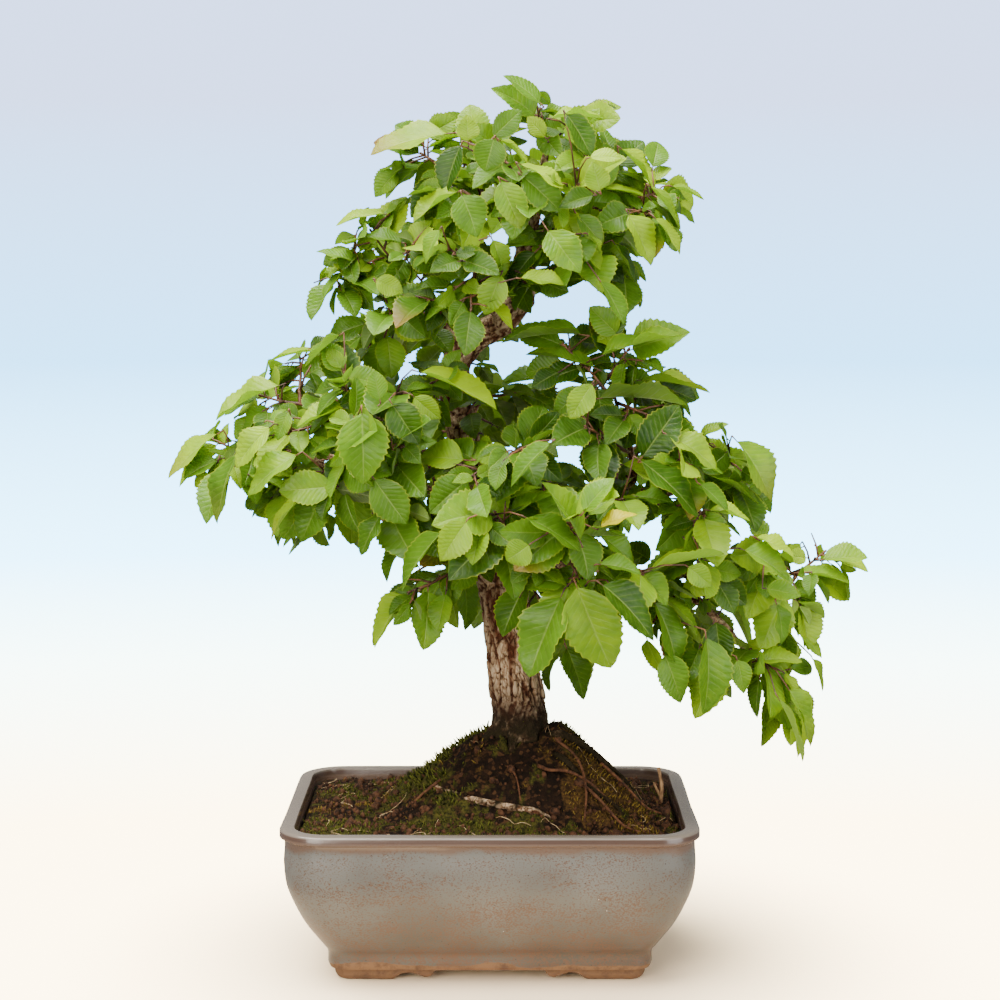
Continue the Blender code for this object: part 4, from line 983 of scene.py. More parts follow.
def petiole(shootPoint, matrix, length):
    inside = leafShape["petiole"] * length * mm
    bend = leafShape["curl"] * length * mm
    end = matrix @ Vector((inside * 1.3, 0, -bend * 0.015 - leafShape["thick"] * mm * 0.4))
    middle = matrix @ Vector((inside * 0.5, 0, -bend * 0.01))
    radius = leafShape["petioleRadius"]
    return [(shootPoint, radius * 1.5), (middle, radius), (end, radius * 0.7)]


extraLeaves = {
    # how far behind a shoot's tip, in mm, and how far along it, as a share
    "along": (4.0, 12.5, 17.0, 21.5, 26.0, 31.0, 36.0, 41.0), "twiglets": (0.3, 0.52, 0.74, 0.92),
    "twigletLong": (7.0, 14.0), "sizes": (0.45, 0.9), "wide": (0.54, 0.7), "tries": 14,
    "keepOut": 2.0, "spurEvery": 8.0, "spurLong": (7.0, 15.0), "spurLeaf": (15.0, 25.0),
    "upright": 0.4, "furthest": 8.5,
    # left, right, bottom and top of places where the bark shows, and how far forward, in mm
    "kept": ((-16, 24, 60, 176, 12), (-14, 12, 286, 304, 6), (-52, -34, 182, 206, -8)),
    # the middle of the canopy, where leaves may be anywhere: its place and its reach
    "inside": ((8, 12, 238), (78, 62, 62)),
}


def extraLeaf(occupied, root, run, spread, length, rng):
    # tries a leaf at a place on a twig, turning it further each time
    face = facing(root)
    across = face.cross(run).normalized()
    for attempt in range(extraLeaves["tries"]):
        stray = 1.0 + attempt / 5
        aim = math.radians(spread + rng.uniform(-20, 20) * stray)
        lean = face + Vector((rng.uniform(-0.4, 0.4), rng.uniform(-0.4, 0.4), 0)) * stray
        lean.z += extraLeaves["upright"]
        down = Vector((0, 0, drooping(root) * 0.85 + rng.uniform(-0.3, 0.3) * stray))
        size = length * rng.uniform(*extraLeaves["sizes"])
        size *= 1 - 0.25 * attempt / extraLeaves["tries"]
        width = size * rng.uniform(*extraLeaves["wide"])
        heading = run * math.cos(aim) + across * math.sin(aim) - down
        roll = math.radians(rng.uniform(-34, 34) * stray)
        matrix = leafFrame(root, heading, lean, roll)
        tip = matrix @ (Vector((size, 0, -leafShape["curl"] * size)) * mm)
        margin = extraLeaves["keepOut"] * mm
        inside = all(cadBox[0][i] - margin < tip[i] < cadBox[1][i] + margin for i in range(3))
        middle, reach = extraLeaves["inside"]
        away = unplace(tip) - Vector(middle)
        if not inside or (sum((a / r) ** 2 for a, r in zip(away, reach)) > 1
                          and occupied.leaves.find(tip)[2] > extraLeaves["furthest"] * mm):
            continue
        if staysClear(unplace(tip)) and occupied.takes(matrix, size, width):
            return matrix, size, width
    return None


def staysClear(point):
    # the lower trunk and parts of the limbs show between the leaves
    return not any(left < point.x < right and low < point.z < high and point.y < front
                   for left, right, low, high, front in extraLeaves["kept"])


def newFoliage():
    bm = bmesh.new()
    for name in ("tone", "bronze"):
        bm.verts.layers.float.new(name)
    bm.loops.layers.uv.new("blade")
    return bm


def addBud(bm, point, heading, size):
    stand = heading.to_track_quat("Z", "Y").to_matrix().to_4x4()
    matrix = Matrix.Translation(place(point)) @ stand @ Matrix.Diagonal((0.7, 0.7, 1.7, 1))
    made = bmesh.ops.create_icosphere(bm, subdivisions=1, radius=size * mm, matrix=matrix)
    for face in {face for vertex in made["verts"] for face in vertex.link_faces}:
        face.material_index = 2


def dressShoot(bm, blades, occupied, spray, shoot, seat, base, tip, corners, rng):
    # one shoot of a spray: its crooked twig, the solid's own leaves, and more between them
    length = sprays[spray][2]
    run = (tip - base).normalized()
    reach = (tip - base).length
    face = facing(tip)
    across = face.cross(run).normalized()
    points = [seat, base] if shoot == 0 else [base]
    knees = max(1, round(reach / 9))
    for knee in range(1, knees):
        kink = across * (0.5 if knee % 2 else -0.5) + face * rng.uniform(-0.3, 0.3)
        points.append(base + run * reach * knee / knees + kink)
    points.append(tip)
    count = len(points) - 1
    routes = [[(place(p), 0.95 - 0.5 * i / count) for i, p in enumerate(points)]]
    found = 0
    for number in range(2):
        for matrix, size, width in leafTries(spray, shoot, number, base, tip, length):
            end = matrix @ (Vector((size, 0, -leafShape["curl"] * size)) * mm)
            if corners.find(end)[2] < 0.5 * mm:
                bronze = 0.7 if rng.random() < 0.05 else 0.0
                addLeaf(bm, blades, matrix, size, width, rng, leafTone(unplace(end), rng), bronze)
                routes.append(petiole(matrix.translation, matrix, size))
                found += 1
                break
    places = []
    for number, back in enumerate(extraLeaves["along"]):
        if back < reach - 2:
            places.append((tip - run * back, run, 58 if (number + shoot) % 2 else -58))
    for number, at in enumerate(extraLeaves["twiglets"]):
        side = 1 if (number + shoot + len(spray)) % 2 else -1
        aim = math.radians(side * rng.uniform(38, 70))
        start = base + run * reach * at
        heading = (run * math.cos(aim) + across * math.sin(aim)
                   + face * rng.uniform(-0.5, 0.5)).normalized()
        end = start + heading * rng.uniform(*extraLeaves["twigletLong"])
        middle = start.lerp(end, 0.5) + face * 0.8
        routes.append([(place(start), 0.55), (place(middle), 0.45), (place(end), 0.32)])
        places += [(end, heading, 0), (start.lerp(end, 0.78), heading, 55 * side),
                   (start.lerp(end, 0.5), heading, -55 * side),
                   (start.lerp(end, 0.25), heading, 60 * side)]
    more = addLeaves(bm, blades, occupied, places, length, rng, routes, 0.85)
    addBud(bm, tip + run * 0.8, run, 1.0)
    return routes, found, more


def addLeaves(bm, blades, occupied, places, length, rng, routes, shade):
    more = 0
    for root, heading, spread in places:
        leaf = extraLeaf(occupied, root, heading, spread, length, rng)
        if leaf:
            matrix, size, width = leaf
            addLeaf(bm, blades, matrix, size, width, rng, leafTone(root, rng) * shade)
            routes.append(petiole(place(root), matrix, size))
            more += 1
    return more


# The leaves that one sees first, read from the photo, in its pixels: the blade's base, its tip and
# the width that shows; then its tone, partly the leaf's own colour and partly painted light and
# shade, how bronze its tip is, and for leaves at the back how far back they are, in mm.
frontLeaves = (
    # crown
    (540, 104, 504, 76, 22, 0.45, 0), (552, 119, 603, 120, 12, 0.85, 0),
    (494, 137, 521, 111, 24, 0.3, 0), (468, 141, 467, 115, 22, 0.85, 0),
    (447, 135, 372, 155, 36, 0.8, 0.6), (461, 146, 445, 193, 28, 0.02, 0),
    (494, 139, 486, 171, 32, 0.3, 0), (500, 141, 529, 164, 12, 0.9, 0),
    (462, 195, 479, 236, 36, 0.4, 0), (500, 182, 517, 229, 30, 0.6, 0.15),
    (522, 176, 559, 211, 34, 0.35, 0), (520, 165, 561, 192, 15, 0.95, 0),
    (548, 231, 577, 275, 37, 0.55, 0), (492, 240, 505, 276, 20, 0.6, 0),
    (501, 275, 487, 314, 29, 0.65, 0), (521, 279, 563, 287, 19, 0.8, 0),
    (512, 282, 521, 299, 17, 0.6, 0), (458, 193, 414, 221, 18, 0.8, 0),
    (566, 115, 590, 159, 25, 0.12, 0), (590, 158, 621, 156, 17, 0.95, 0),
    (621, 150, 655, 189, 18, 0.95, 0), (600, 191, 592, 162, 24, 0.75, 0),
    (600, 190, 645, 195, 11, 0.85, 0), (593, 196, 559, 205, 21, 0.1, 0),
    (650, 188, 680, 229, 17, 0.7, 0), (655, 219, 680, 253, 17, 0.95, 0),
    (672, 187, 703, 201, 12, 0.7, 0), (628, 215, 647, 267, 26, 0.85, 0),
    (614, 244, 633, 280, 11, 0.15, 0), (545, 137, 527, 118, 18, 0.9, 0),
    (577, 215, 600, 246, 22, 0.3, 0.1), (600, 282, 622, 326, 20, 0.4, 0),
    (440, 230, 424, 262, 14, 0.55, 0), (385, 215, 337, 222, 12, 0.85, 0),
    (402, 243, 366, 236, 18, 0.4, 0), (355, 262, 317, 252, 16, 0.5, 0),
    (393, 262, 405, 277, 18, 0.7, 0), (376, 280, 402, 294, 20, 0.8, 0),
    # left
    (218, 435, 170, 478, 24, 0.8, 0.35), (279, 387, 217, 418, 24, 0.75, 0),
    (238, 455, 217, 522, 24, 0.3, 0.2), (270, 428, 236, 466, 26, 0.85, 0),
    (257, 452, 247, 488, 10, 0.9, 1.0), (297, 456, 248, 493, 24, 0.65, 0),
    (333, 487, 280, 492, 34, 0.6, 0.1), (362, 413, 367, 482, 48, 0.5, 0),
    (355, 486, 352, 543, 40, 0.55, 0.1), (374, 479, 405, 524, 36, 0.35, 0),
    (392, 404, 418, 445, 34, 0.12, 0), (414, 397, 437, 420, 22, 0.75, 0),
    (420, 374, 494, 412, 15, 0.95, 0), (380, 400, 374, 370, 20, 0.5, 0),
    (316, 352, 269, 359, 15, 0.8, 0), (340, 336, 306, 369, 14, 0.4, 0),
    (382, 514, 364, 556, 18, 0.15, 0), (345, 409, 299, 431, 14, 0.85, 0),
    (466, 522, 440, 560, 32, 0.8, 0), (442, 534, 400, 586, 26, 0.3, 0),
    (462, 574, 469, 628, 29, 0.3, 0), (288, 412, 278, 440, 20, 0.55, 0),
    (330, 400, 296, 418, 18, 0.4, 0), (300, 500, 270, 537, 12, 0.85, 0.4),
    (418, 594, 378, 649, 11, 0.5, 0, 30), (440, 583, 424, 611, 18, 0.3, 0, 40),
    (314, 520, 285, 548, 8, 0.3, 0, 30), (327, 513, 330, 540, 12, 0.1, 0, 30),
    # middle
    (581, 336, 504, 338, 22, 0.4, 0), (594, 369, 529, 352, 18, 0.5, 0),
    (603, 357, 684, 339, 16, 0.55, 0.1), (601, 372, 656, 367, 11, 0.85, 0),
    (640, 382, 708, 388, 15, 0.8, 0.5), (557, 380, 494, 387, 17, 0.5, 0),
    (592, 384, 571, 419, 26, 0.7, 0), (642, 457, 680, 408, 40, 0.02, 0),
    (668, 436, 716, 468, 22, 1.0, 0), (640, 462, 696, 516, 30, 0.35, 0),
    (622, 466, 684, 500, 16, 1.0, 0.1), (551, 444, 512, 486, 22, 0.5, 0),
    (579, 541, 545, 482, 25, 0.85, 0), (584, 512, 613, 480, 22, 0.75, 0),
    (601, 528, 636, 514, 14, 1.7, 0), (736, 442, 773, 498, 24, 0.6, 0.3),
    (705, 475, 759, 501, 15, 0.6, 0), (709, 511, 749, 523, 13, 0.9, 0),
    (529, 545, 508, 562, 28, 0.9, 0), (527, 519, 578, 552, 20, 0.6, 0),
    (700, 437, 728, 424, 14, 0.7, 0), (600, 400, 686, 403, 10, 0.85, 0),
    (650, 560, 625, 545, 24, 0.35, 0), (700, 485, 728, 512, 18, 0.5, 0),
    # lower right
    (577, 587, 607, 667, 54, 0.66, 0), (562, 597, 536, 678, 42, 0.4, 0),
    (602, 586, 654, 637, 32, 0.2, 0), (654, 603, 679, 664, 32, 0.3, 0),
    (566, 648, 583, 699, 32, 0.2, 0, -30), (705, 638, 706, 712, 34, 0.5, 0),
    (664, 655, 682, 701, 30, 0.45, 0), (716, 622, 722, 666, 32, 0.02, 0),
    (720, 598, 750, 650, 18, 0.6, 0), (650, 572, 726, 560, 10, 1.0, 0),
    (757, 662, 801, 660, 14, 0.7, 0.1), (792, 627, 821, 658, 16, 0.65, 0),
    (812, 659, 822, 691, 11, 0.75, 0), (788, 690, 812, 744, 27, 0.65, 0.2),
    (778, 700, 801, 760, 11, 0.7, 0), (760, 679, 758, 717, 11, 0.1, 0),
    (823, 560, 867, 560, 22, 0.65, 0), (799, 574, 849, 583, 16, 0.65, 0),
    (766, 589, 800, 598, 20, 0.6, 0), (756, 538, 793, 558, 14, 1.0, 0),
    (744, 551, 790, 578, 22, 0.6, 0), (688, 567, 712, 586, 22, 0.85, 0),
    (776, 604, 784, 642, 19, 0.5, 0), (737, 660, 746, 692, 22, 0.55, 0),
    (540, 573, 570, 587, 11, 0.9, 0), (600, 565, 640, 571, 16, 0.65, 0),
    (662, 600, 695, 637, 10, 0.6, 0), (555, 655, 548, 690, 8, 0.3, 0, 20),
)


frontPlace = {
    # in mm: how far a leaf stands before the solids, how far forward it may be, and where one
    # that lies beside the solids looks for them
    "before": 6, "furthest": -103, "beside": -20.0,
    # along and across a blade, the spots that have to be before the solids
    "spots": ((0.0, 0), (0.3, 0), (0.55, 0), (0.8, 0), (1.0, 0), (0.25, 0.4), (0.5, 0.4),
              (0.75, 0.25), (0.25, -0.4), (0.5, -0.4), (0.75, -0.25)),
    # a blade seen flat shows this share of its width, and is this wide for its length
    "shown": 0.45, "wide": 0.58,
    # leaves within this width and height stand in the crown's shade and are darker
    "width": (-9, 101), "height": (169, 262), "darker": 0.22,
}


class Canopy:
    # the solids' leaves and all the twigs, to find what is in front and what is near

    def __init__(self, lines):
        points, faces = [], []
        for spray in sprays:
            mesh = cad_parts[spray].data
            first = len(points)
            points += [vertex.co.copy() for vertex in mesh.vertices]
            faces += [[first + i for i in face.vertices] for face in mesh.polygons]
        self.solids = BVHTree.FromPolygons(points, faces)
        self.corners = searchTree(points)
        self.twigs = [sample[0] for sample in lines.samples]
        for spray in sprays:
            for _, _, base, tip in shootsOf(spray):
                steps = round((tip - base).length / 3)
                self.twigs += [base.lerp(tip, step / steps) for step in range(steps + 1)]
        self.tree = searchTree(self.twigs)

    def frontOf(self, pixels):
        # how far forward a leaf over these pixels has to be to lie before the solids
        reached = []
        for across, down in pixels:
            hit = self.solids.ray_cast(place(eye), gazeThrough(across, down).normalized())[0]
            if hit:
                reached.append(unplace(hit).y)
        if reached:
            return max(min(reached) - frontPlace["before"], frontPlace["furthest"])
        near = self.corners.find(place(seenAt(*pixels[0], frontPlace["beside"])))[0]
        return unplace(near).y


def seenAt(across, down, y):
    gaze = gazeThrough(across, down)
    return eye + gaze * (y - eye.y) / gaze.y


def makeFrontLeaves(blades, canopyLines, occupied, materials):
    rng = random.Random("front leaves")
    bm = newFoliage()
    routes = []
    for baseX, baseY, tipX, tipY, seen, tone, bronze, *back in frontLeaves:
        long = math.hypot(tipX - baseX, tipY - baseY)
        pixels = [(baseX + (tipX - baseX) * share - (tipY - baseY) * side * seen / long,
                   baseY + (tipY - baseY) * share + (tipX - baseX) * side * seen / long)
                  for share, side in frontPlace["spots"]]
        y = back[0] if back else canopyLines.frontOf(pixels)
        base, tip = seenAt(baseX, baseY, y), seenAt(tipX, tipY, y)
        middle = (base + tip) / 2
        left, right = frontPlace["width"]
        low, high = frontPlace["height"]
        if left < middle.x < right and low < middle.z < high and tone < 1.1:
            tone = max(0.05, tone - frontPlace["darker"])
        run = (tip - base) / (1 - leafShape["petiole"])
        length = run.length
        root = tip - run
        width = max(seen * frontPlace["shown"], frontPlace["wide"] * length)
        tilt = math.acos(min(1.0, seen * frontPlace["shown"] / width))
        toEye = Vector((rng.uniform(-0.12, 0.12), -1, 0.25))
        normal = max((Matrix.Rotation(side * tilt, 3, run.normalized()) @ toEye
                      for side in (-1, 1)), key=lambda way: way.z)
        curl = leafShape["curl"] * length
        away = (normal - run * normal.dot(run) / run.length_squared).normalized()
        matrix = leafFrame(root, run + away * curl, normal, math.radians(rng.uniform(-8, 8)))
        addLeaf(bm, blades, matrix, length, width, rng, tone, bronze)
        occupied.takes(matrix, length, width)
        near = canopyLines.tree.find(root)[0]
        bend = near.lerp(root, 0.5) + Vector((rng.uniform(-1, 1), rng.uniform(-1, 1), 1.2))
        routes.append([(place(near), 0.5), (place(bend), 0.4), (place(root), 0.3)])
        routes.append(petiole(place(root), matrix, length))
    addTubes(bm, routes, 6, 2)
    addPiece("front_leaves", bm, materials)
    print("leaves read from the photo", len(frontLeaves))


def makeSpurs(blades, occupied, materials):
    # short spurs straight from the limbs fill the middle of the canopy
    inner = 0
    for limb, (start, end, route) in limbs.items():
        rng = random.Random("spurs " + limb)
        bm = newFoliage()
        routes = []
        long = sum((Vector(b) - Vector(a)).length for a, b in zip(route, route[1:]))
        for number in range(round(long / extraLeaves["spurEvery"])):
            at = (number + rng.uniform(0.2, 0.8)) * extraLeaves["spurEvery"] / long
            if at > 1:
                break
            base, heading = along(route, at)
            side = heading.orthogonal().normalized()
            side = Matrix.Rotation(rng.uniform(0, 6.3), 3, heading) @ side
            out = (side + heading * rng.uniform(0, 0.6) + Vector((0, 0, 0.35))).normalized()
            radius = taper(start, end, at)
            tip = base + out * (radius + rng.uniform(*extraLeaves["spurLong"]))
            if not staysClear(tip):
                continue
            size = rng.uniform(*extraLeaves["spurLeaf"])
            places = [(tip, out, 0), (base.lerp(tip, 0.85), out, 60),
                      (base.lerp(tip, 0.7), out, -60)]
            added = addLeaves(bm, blades, occupied, places, size, rng, routes, 0.6)
            if added:
                routes.append([(place(base), 0.8), (place(base.lerp(tip, 0.5)), 0.6),
                               (place(tip), 0.4)])
                inner += added
        if routes:
            addTubes(bm, routes, 6, 2)
            addPiece("spur_leaves_" + limb, bm, materials)
    print("leaves on spurs", inner)


def makeSprays(materials, lines):
    blades = [makeBlade(outline) for outline in leafShape["outlines"]]
    occupied = Occupied()
    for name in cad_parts:
        if not name.startswith("drain"):
            occupied.addNodeShape(name)
    canopyLines = Canopy(lines)
    occupied.leaves = canopyLines.corners
    makeFrontLeaves(blades, canopyLines, occupied, materials)
    found = more = 0
    for spray in sprays:
        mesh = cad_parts[spray].data
        corners = searchTree([vertex.co for vertex in mesh.vertices])
        rng = random.Random("looks " + spray)
        bm = newFoliage()
        routes = []
        for shoot, seat, base, tip in shootsOf(spray):
            result = dressShoot(bm, blades, occupied, spray, shoot, seat, base, tip, corners, rng)
            routes += result[0]
            found += result[1]
            more += result[2]
        addTubes(bm, routes, 6, 2)
        addPiece("leaves_" + spray, bm, materials, [spray])
    print("leaves", found, "of the solids and", more, "more")
    makeSpurs(blades, occupied, materials)


potShape = {
    # half width, height and corner radius, up the outside, over the lip and down inside
    "profile": ((73.2, 3.0, 9.0), (74.2, 5.5, 10.0), (74.4, 10.5, 10.5), (77.2, 14.4, 12.5),
                (84.1, 24.8, 16.0), (88.8, 34.7, 18.5), (91.8, 43.8, 20.0), (92.8, 54.0, 20.5),
                (92.4, 64.8, 20.0), (94.5, 66.4, 21.0), (94.5, 69.2, 21.0), (93.8, 70.0, 20.3),
                (88.3, 70.0, 15.0), (87.6, 67.5, 14.3), (87.0, 56.0, 14.0), (85.0, 43.0, 13.0),
                (79.0, 28.0, 11.0), (68.5, 12.0, 8.0)),
    "shallower": 25.0, "cornerSteps": 10, "sideSteps": (18, 10), "rowSpacing": 1.9,
    "unevenFrom": 6.0, "uneven": 0.45, "throwing": 0.1, "drains": (-36.0, 36.0), "drainRadius": 7.0,
    "footVoxel": 0.6, "feetUnder": 5.8,
}


def potRing(halfWidth, corner):
    # places round a rectangle with round corners, seen from above
    halfDepth = halfWidth - potShape["shallower"]
    ring = []
    for quarter, (sideX, sideY) in enumerate(((1, 1), (-1, 1), (-1, -1), (1, -1))):
        steps = potShape["cornerSteps"]
        for step in range(steps + 1):
            angle = math.radians(90 * (quarter + step / steps))
            ring.append((sideX * (halfWidth - corner) + corner * math.cos(angle),
                         sideY * (halfDepth - corner) + corner * math.sin(angle)))
        x, y = ring[-1]
        count = potShape["sideSteps"][quarter % 2]
        for number in range(1, count):
            share = 1 - 2 * number / count
            ring.append((x * share, y) if quarter % 2 == 0 else (x, y * share))
    return ring


def makePot(material):
    rows = smoothRoute(potShape["profile"], potShape["rowSpacing"])
    ringLength = len(potRing(90.0, 20.0))
    bm = bmesh.new()
    turn = bm.verts.layers.int.new("turn")
    circle = bmesh.ops.create_circle(bm, segments=ringLength, radius=0.05)["verts"]
    for number, vertex in enumerate(circle):
        vertex[turn] = number
    edges = bm.edges[:]
    bmesh.ops.contextual_create(bm, geom=edges)
    for number, (halfWidth, height, corner) in enumerate(rows):
        if number:
            made = bmesh.ops.extrude_edge_only(bm, edges=edges)["geom"]
            edges = [part for part in made if isinstance(part, bmesh.types.BMEdge)]
        ring = potRing(halfWidth, corner)
        for vertex in {vertex for edge in edges for vertex in edge.verts}:
            vertex.co = place((*ring[vertex[turn]], height))
    bmesh.ops.contextual_create(bm, geom=edges)
    bmesh.ops.recalc_face_normals(bm, faces=bm.faces)
    # pressed and finished by hand, so it is not quite true
    for vertex in bm.verts:
        point = unplace(vertex.co)
        if point.z > potShape["unevenFrom"]:
            turning = noise.noise(Vector((point.x / 60, point.y / 60, point.z / 3.2)))
            wave = noise.noise(point / 38) * potShape["uneven"]
            wave += turning * potShape["throwing"]
            out = Vector((vertex.normal.x, vertex.normal.y, 0.25 * vertex.normal.z))
            vertex.co += out * wave * mm
    cutter = bmesh.new()
    radius = potShape["drainRadius"] * mm
    for x in potShape["drains"]:
        bmesh.ops.create_cone(cutter, cap_ends=True, segments=40, depth=0.022, radius1=radius,
                              radius2=radius, matrix=Matrix.Translation(place((x, 0, 7))))
    cutter = linked("work", meshOf(cutter))
    bm = throughModifiers(bm, [("BOOLEAN", {"operation": "DIFFERENCE", "solver": "EXACT",
                                            "object": cutter})])
    bpy.data.objects.remove(cutter)
    feet = copyNode("pot")
    at = potShape["feetUnder"] * mm
    bmesh.ops.bisect_plane(feet, geom=feet.verts[:] + feet.edges[:] + feet.faces[:],
                           plane_co=(0, 0, at), plane_no=(0, 0, 1), clear_outer=True)
    bmesh.ops.holes_fill(feet, edges=[edge for edge in feet.edges if edge.is_boundary], sides=0)
    for vertex in feet.verts:
        if vertex.co.z > at - 0.00001:
            vertex.co.z += 0.0014
    feet = remeshed(feet, potShape["footVoxel"], 5)
    for vertex in feet.verts:
        vertex.co += noise.noise_vector(vertex.co / mm / 7) * 0.22 * mm
        vertex.co.z = max(0.0, vertex.co.z)
    pour(feet, bm)
    print("pot", len(bm.faces), "faces")
    pot = addPiece("glazed_pot", bm, [material], ["pot"])
    pot.data.set_sharp_from_angle(angle=math.radians(50))


soilCover = {
    "voxel": 1.4, "topFrom": 62.5, "lump": 1.2, "grit": 0.55, "mossThick": 1.5,
    "rim": (87, 62), "crumbs": 2900, "spikes": 11000, "fineRoots": 70,
    # half width and depth of the open soil, and where its round corners begin
    "crumbField": (85, 60), "crumbCorner": (74, 49), "spikeField": (85.5, 60.5),
    "spikeCorner": (75, 50), "rootField": (80, 56), "rootEdge": (85, 60),
    # the mound carries fewer crumbs and roots, above these heights
    "crumbsBelow": 74, "crumbsLeftOut": 0.72, "rootsBelow": 72, "rootsLeftOut": 0.75,
    "crumbSize": (0.3, 2.1, 2.9), "rootStep": 2.6,
    # the carpet on the mound's left is taller: from x to x, above this height, and how much
    "tall": (-44, 0, 76, 1.7),
    # x, y and reach of each patch in mm, and how thick it grows
    "moss": ((-74, -32, 16, 1.0), (-60, -40, 12, 0.8), (-70, 28, 14, 0.9), (-48, -8, 10, 0.7),
             (-36, 12, 14, 0.9), (-27, -16, 8, 0.9), (-8, -46, 13, 1.0), (14, -50, 12, 0.9),
             (34, -52, 8, 0.7), (-30, -50, 10, 0.8), (-10, 40, 16, 0.9), (44, 44, 16, 0.8),
             (78, 34, 12, 0.7), (-2, 14, 10, 0.6), (-45, 45, 14, 0.8), (24, 24, 12, 0.6),
             (-20, -34, 7, 0.7), (80, -18, 8, 0.6), (-30, 4, 9, 1.0),
             (-18, 6, 8, 0.7), (-6, 8, 7, 0.6), (40, 6, 9, 0.8), (30, 10, 8, 0.8)),
    "dry": ((40, -8, 11, 0.9), (52, -20, 11, 1.0), (66, -10, 10, 0.8), (38, -30, 9, 0.6),
            (62, -36, 12, 0.7), (76, -46, 9, 0.6), (58, 14, 13, 0.8), (-54, 10, 10, 0.6),
            (-20, -6, 8, 0.5), (10, 50, 10, 0.6), (-78, -6, 9, 0.6)),
    "rootRoutes": (
        ((22, -26, 0.6, 1.3), (27, -29, 4.5, 1.3), (36, -28, 5.5, 1.2), (46, -26, 2.0, 1.0),
         (56, -28, 0.4, 0.8)),
        ((40, -26, 0.4, 1.2), (50, -32, 3.4, 1.2), (60, -38, 2.6, 1.0), (68, -44, 0.2, 0.7)),
        ((30, -14, 1.0, 1.0), (40, -20, 4.0, 0.9), (44, -30, 3.0, 0.8), (43, -40, 0.3, 0.6)),
        ((52, -6, 0.6, 1.1), (62, -12, 4.2, 1.1), (72, -16, 2.0, 0.9), (80, -20, 0.2, 0.6)),
        ((-36, -20, 0.2, 1.0), (-29, -22, 2.4, 1.1), (-23, -19, 0.4, 0.9)),
        ((8, -24, 0.3, 0.6), (12, -30, 1.6, 0.6), (14, -37, 0.2, 0.5)),
    ),
}


def patchAt(name, point, seed):
    total = sum(amount * math.exp(-((point.x - x) ** 2 + (point.y - y) ** 2) / (reach * reach))
                for x, y, reach, amount in soilCover[name])
    rough = noise.noise(Vector((point.x / 11, point.y / 11, seed))) * 0.75
    rough += noise.noise(Vector((point.x / 3.5, point.y / 3.5, seed + 5))) * 0.5
    return min(1.0, max(0.0, total + rough))


def coverAt(point):
    # how thick the green moss and the dried moss are here
    green = patchAt("moss", point, 3.0)
    return green, patchAt("dry", point, 8.0) * (1 - green)


def scatter(bm, template, matrices, tones):
    # copies the template to every matrix, a few at a time, as one large mesh is slow to add to
    batch = 60
    for first in range(0, len(matrices), batch):
        part = bmesh.new()
        for name in ("moss", "dry", "tone"):
            part.verts.layers.float.new(name)
        layer = part.verts.layers.float["tone"]
        for matrix, tone in zip(matrices[first:first + batch], tones[first:first + batch]):
            start = len(part.verts)
            part.from_mesh(template)
            part.verts.ensure_lookup_table()
            for vertex in part.verts[start:]:
                vertex.co = matrix @ vertex.co
                vertex[layer] = tone
        pour(part, bm)


def turned(point, direction, spin, size):
    stand = direction.to_track_quat("Z", "Y").to_matrix().to_4x4()
    return (Matrix.Translation(point) @ stand @ Matrix.Rotation(spin, 4, "Z")
            @ Matrix.Diagonal((*size, 1)))


def shapeSoil():
    # the solid's soil with lumps and grit on top, and raised where the moss grows
    bm = remeshed(copyNode("soil"), soilCover["voxel"], 4)
    moss, dry, _ = [bm.verts.layers.float.new(name) for name in ("moss", "dry", "tone")]
    bm.normal_update()
    wide, deep = soilCover["rim"]
    for vertex in bm.verts:
        point = unplace(vertex.co)
        if point.z < soilCover["topFrom"] or vertex.normal.z < 0.2:
            continue
        green, ochre = coverAt(point)
        rise = noise.noise(point / 7) * soilCover["lump"]
        rise += noise.noise(point / 2.2) * soilCover["grit"] + noise.noise(point / 1.1) * 0.25
        rise += (green + 0.7 * ochre) * soilCover["mossThick"]
        near = min(wide - abs(point.x), deep - abs(point.y))
        vertex.co.z += rise * smoothStep(-1, 3, near) * mm
        vertex[moss], vertex[dry] = green, ochre
    return bm


def onSoil(surface, x, y, lift=0.0):
    hit, normal, _, _ = surface.ray_cast(place((x, y, 140)), Vector((0, 0, -1)))
    return (hit + Vector((0, 0, lift * mm)), normal) if hit else (None, None)


def anywhere(surface, rng, field, corner):
    # a random place on the soil, or none in the pot's round corners
    wide, deep = soilCover[field]
    x, y = rng.uniform(-wide, wide), rng.uniform(-deep, deep)
    if abs(x) > soilCover[corner][0] and abs(y) > soilCover[corner][1]:
        return None, None
    return onSoil(surface, x, y)


def leftOut(point, rng, what):
    # the mound carries fewer crumbs and roots
    return (unplace(point).z > soilCover[what + "Below"]
            and rng.random() < soilCover[what + "LeftOut"])


def makeScraps(rng):
    # one crumb and one moss spike, to be copied
    crumb, spike = bmesh.new(), bmesh.new()
    bmesh.ops.create_icosphere(crumb, subdivisions=1, radius=mm)
    for vertex in crumb.verts:
        vertex.co *= rng.uniform(0.75, 1.2)
    bmesh.ops.create_cone(spike, cap_ends=True, segments=3, radius1=0.5 * mm, radius2=0.08 * mm,
                          depth=2.0 * mm, matrix=Matrix.Translation((0, 0, 0.8 * mm)))
    bmesh.ops.recalc_face_normals(spike, faces=spike.faces)
    for shape, number in ((crumb, 1), (spike, 2)):
        for face in shape.faces:
            face.material_index = number
    return meshOf(crumb), meshOf(spike)


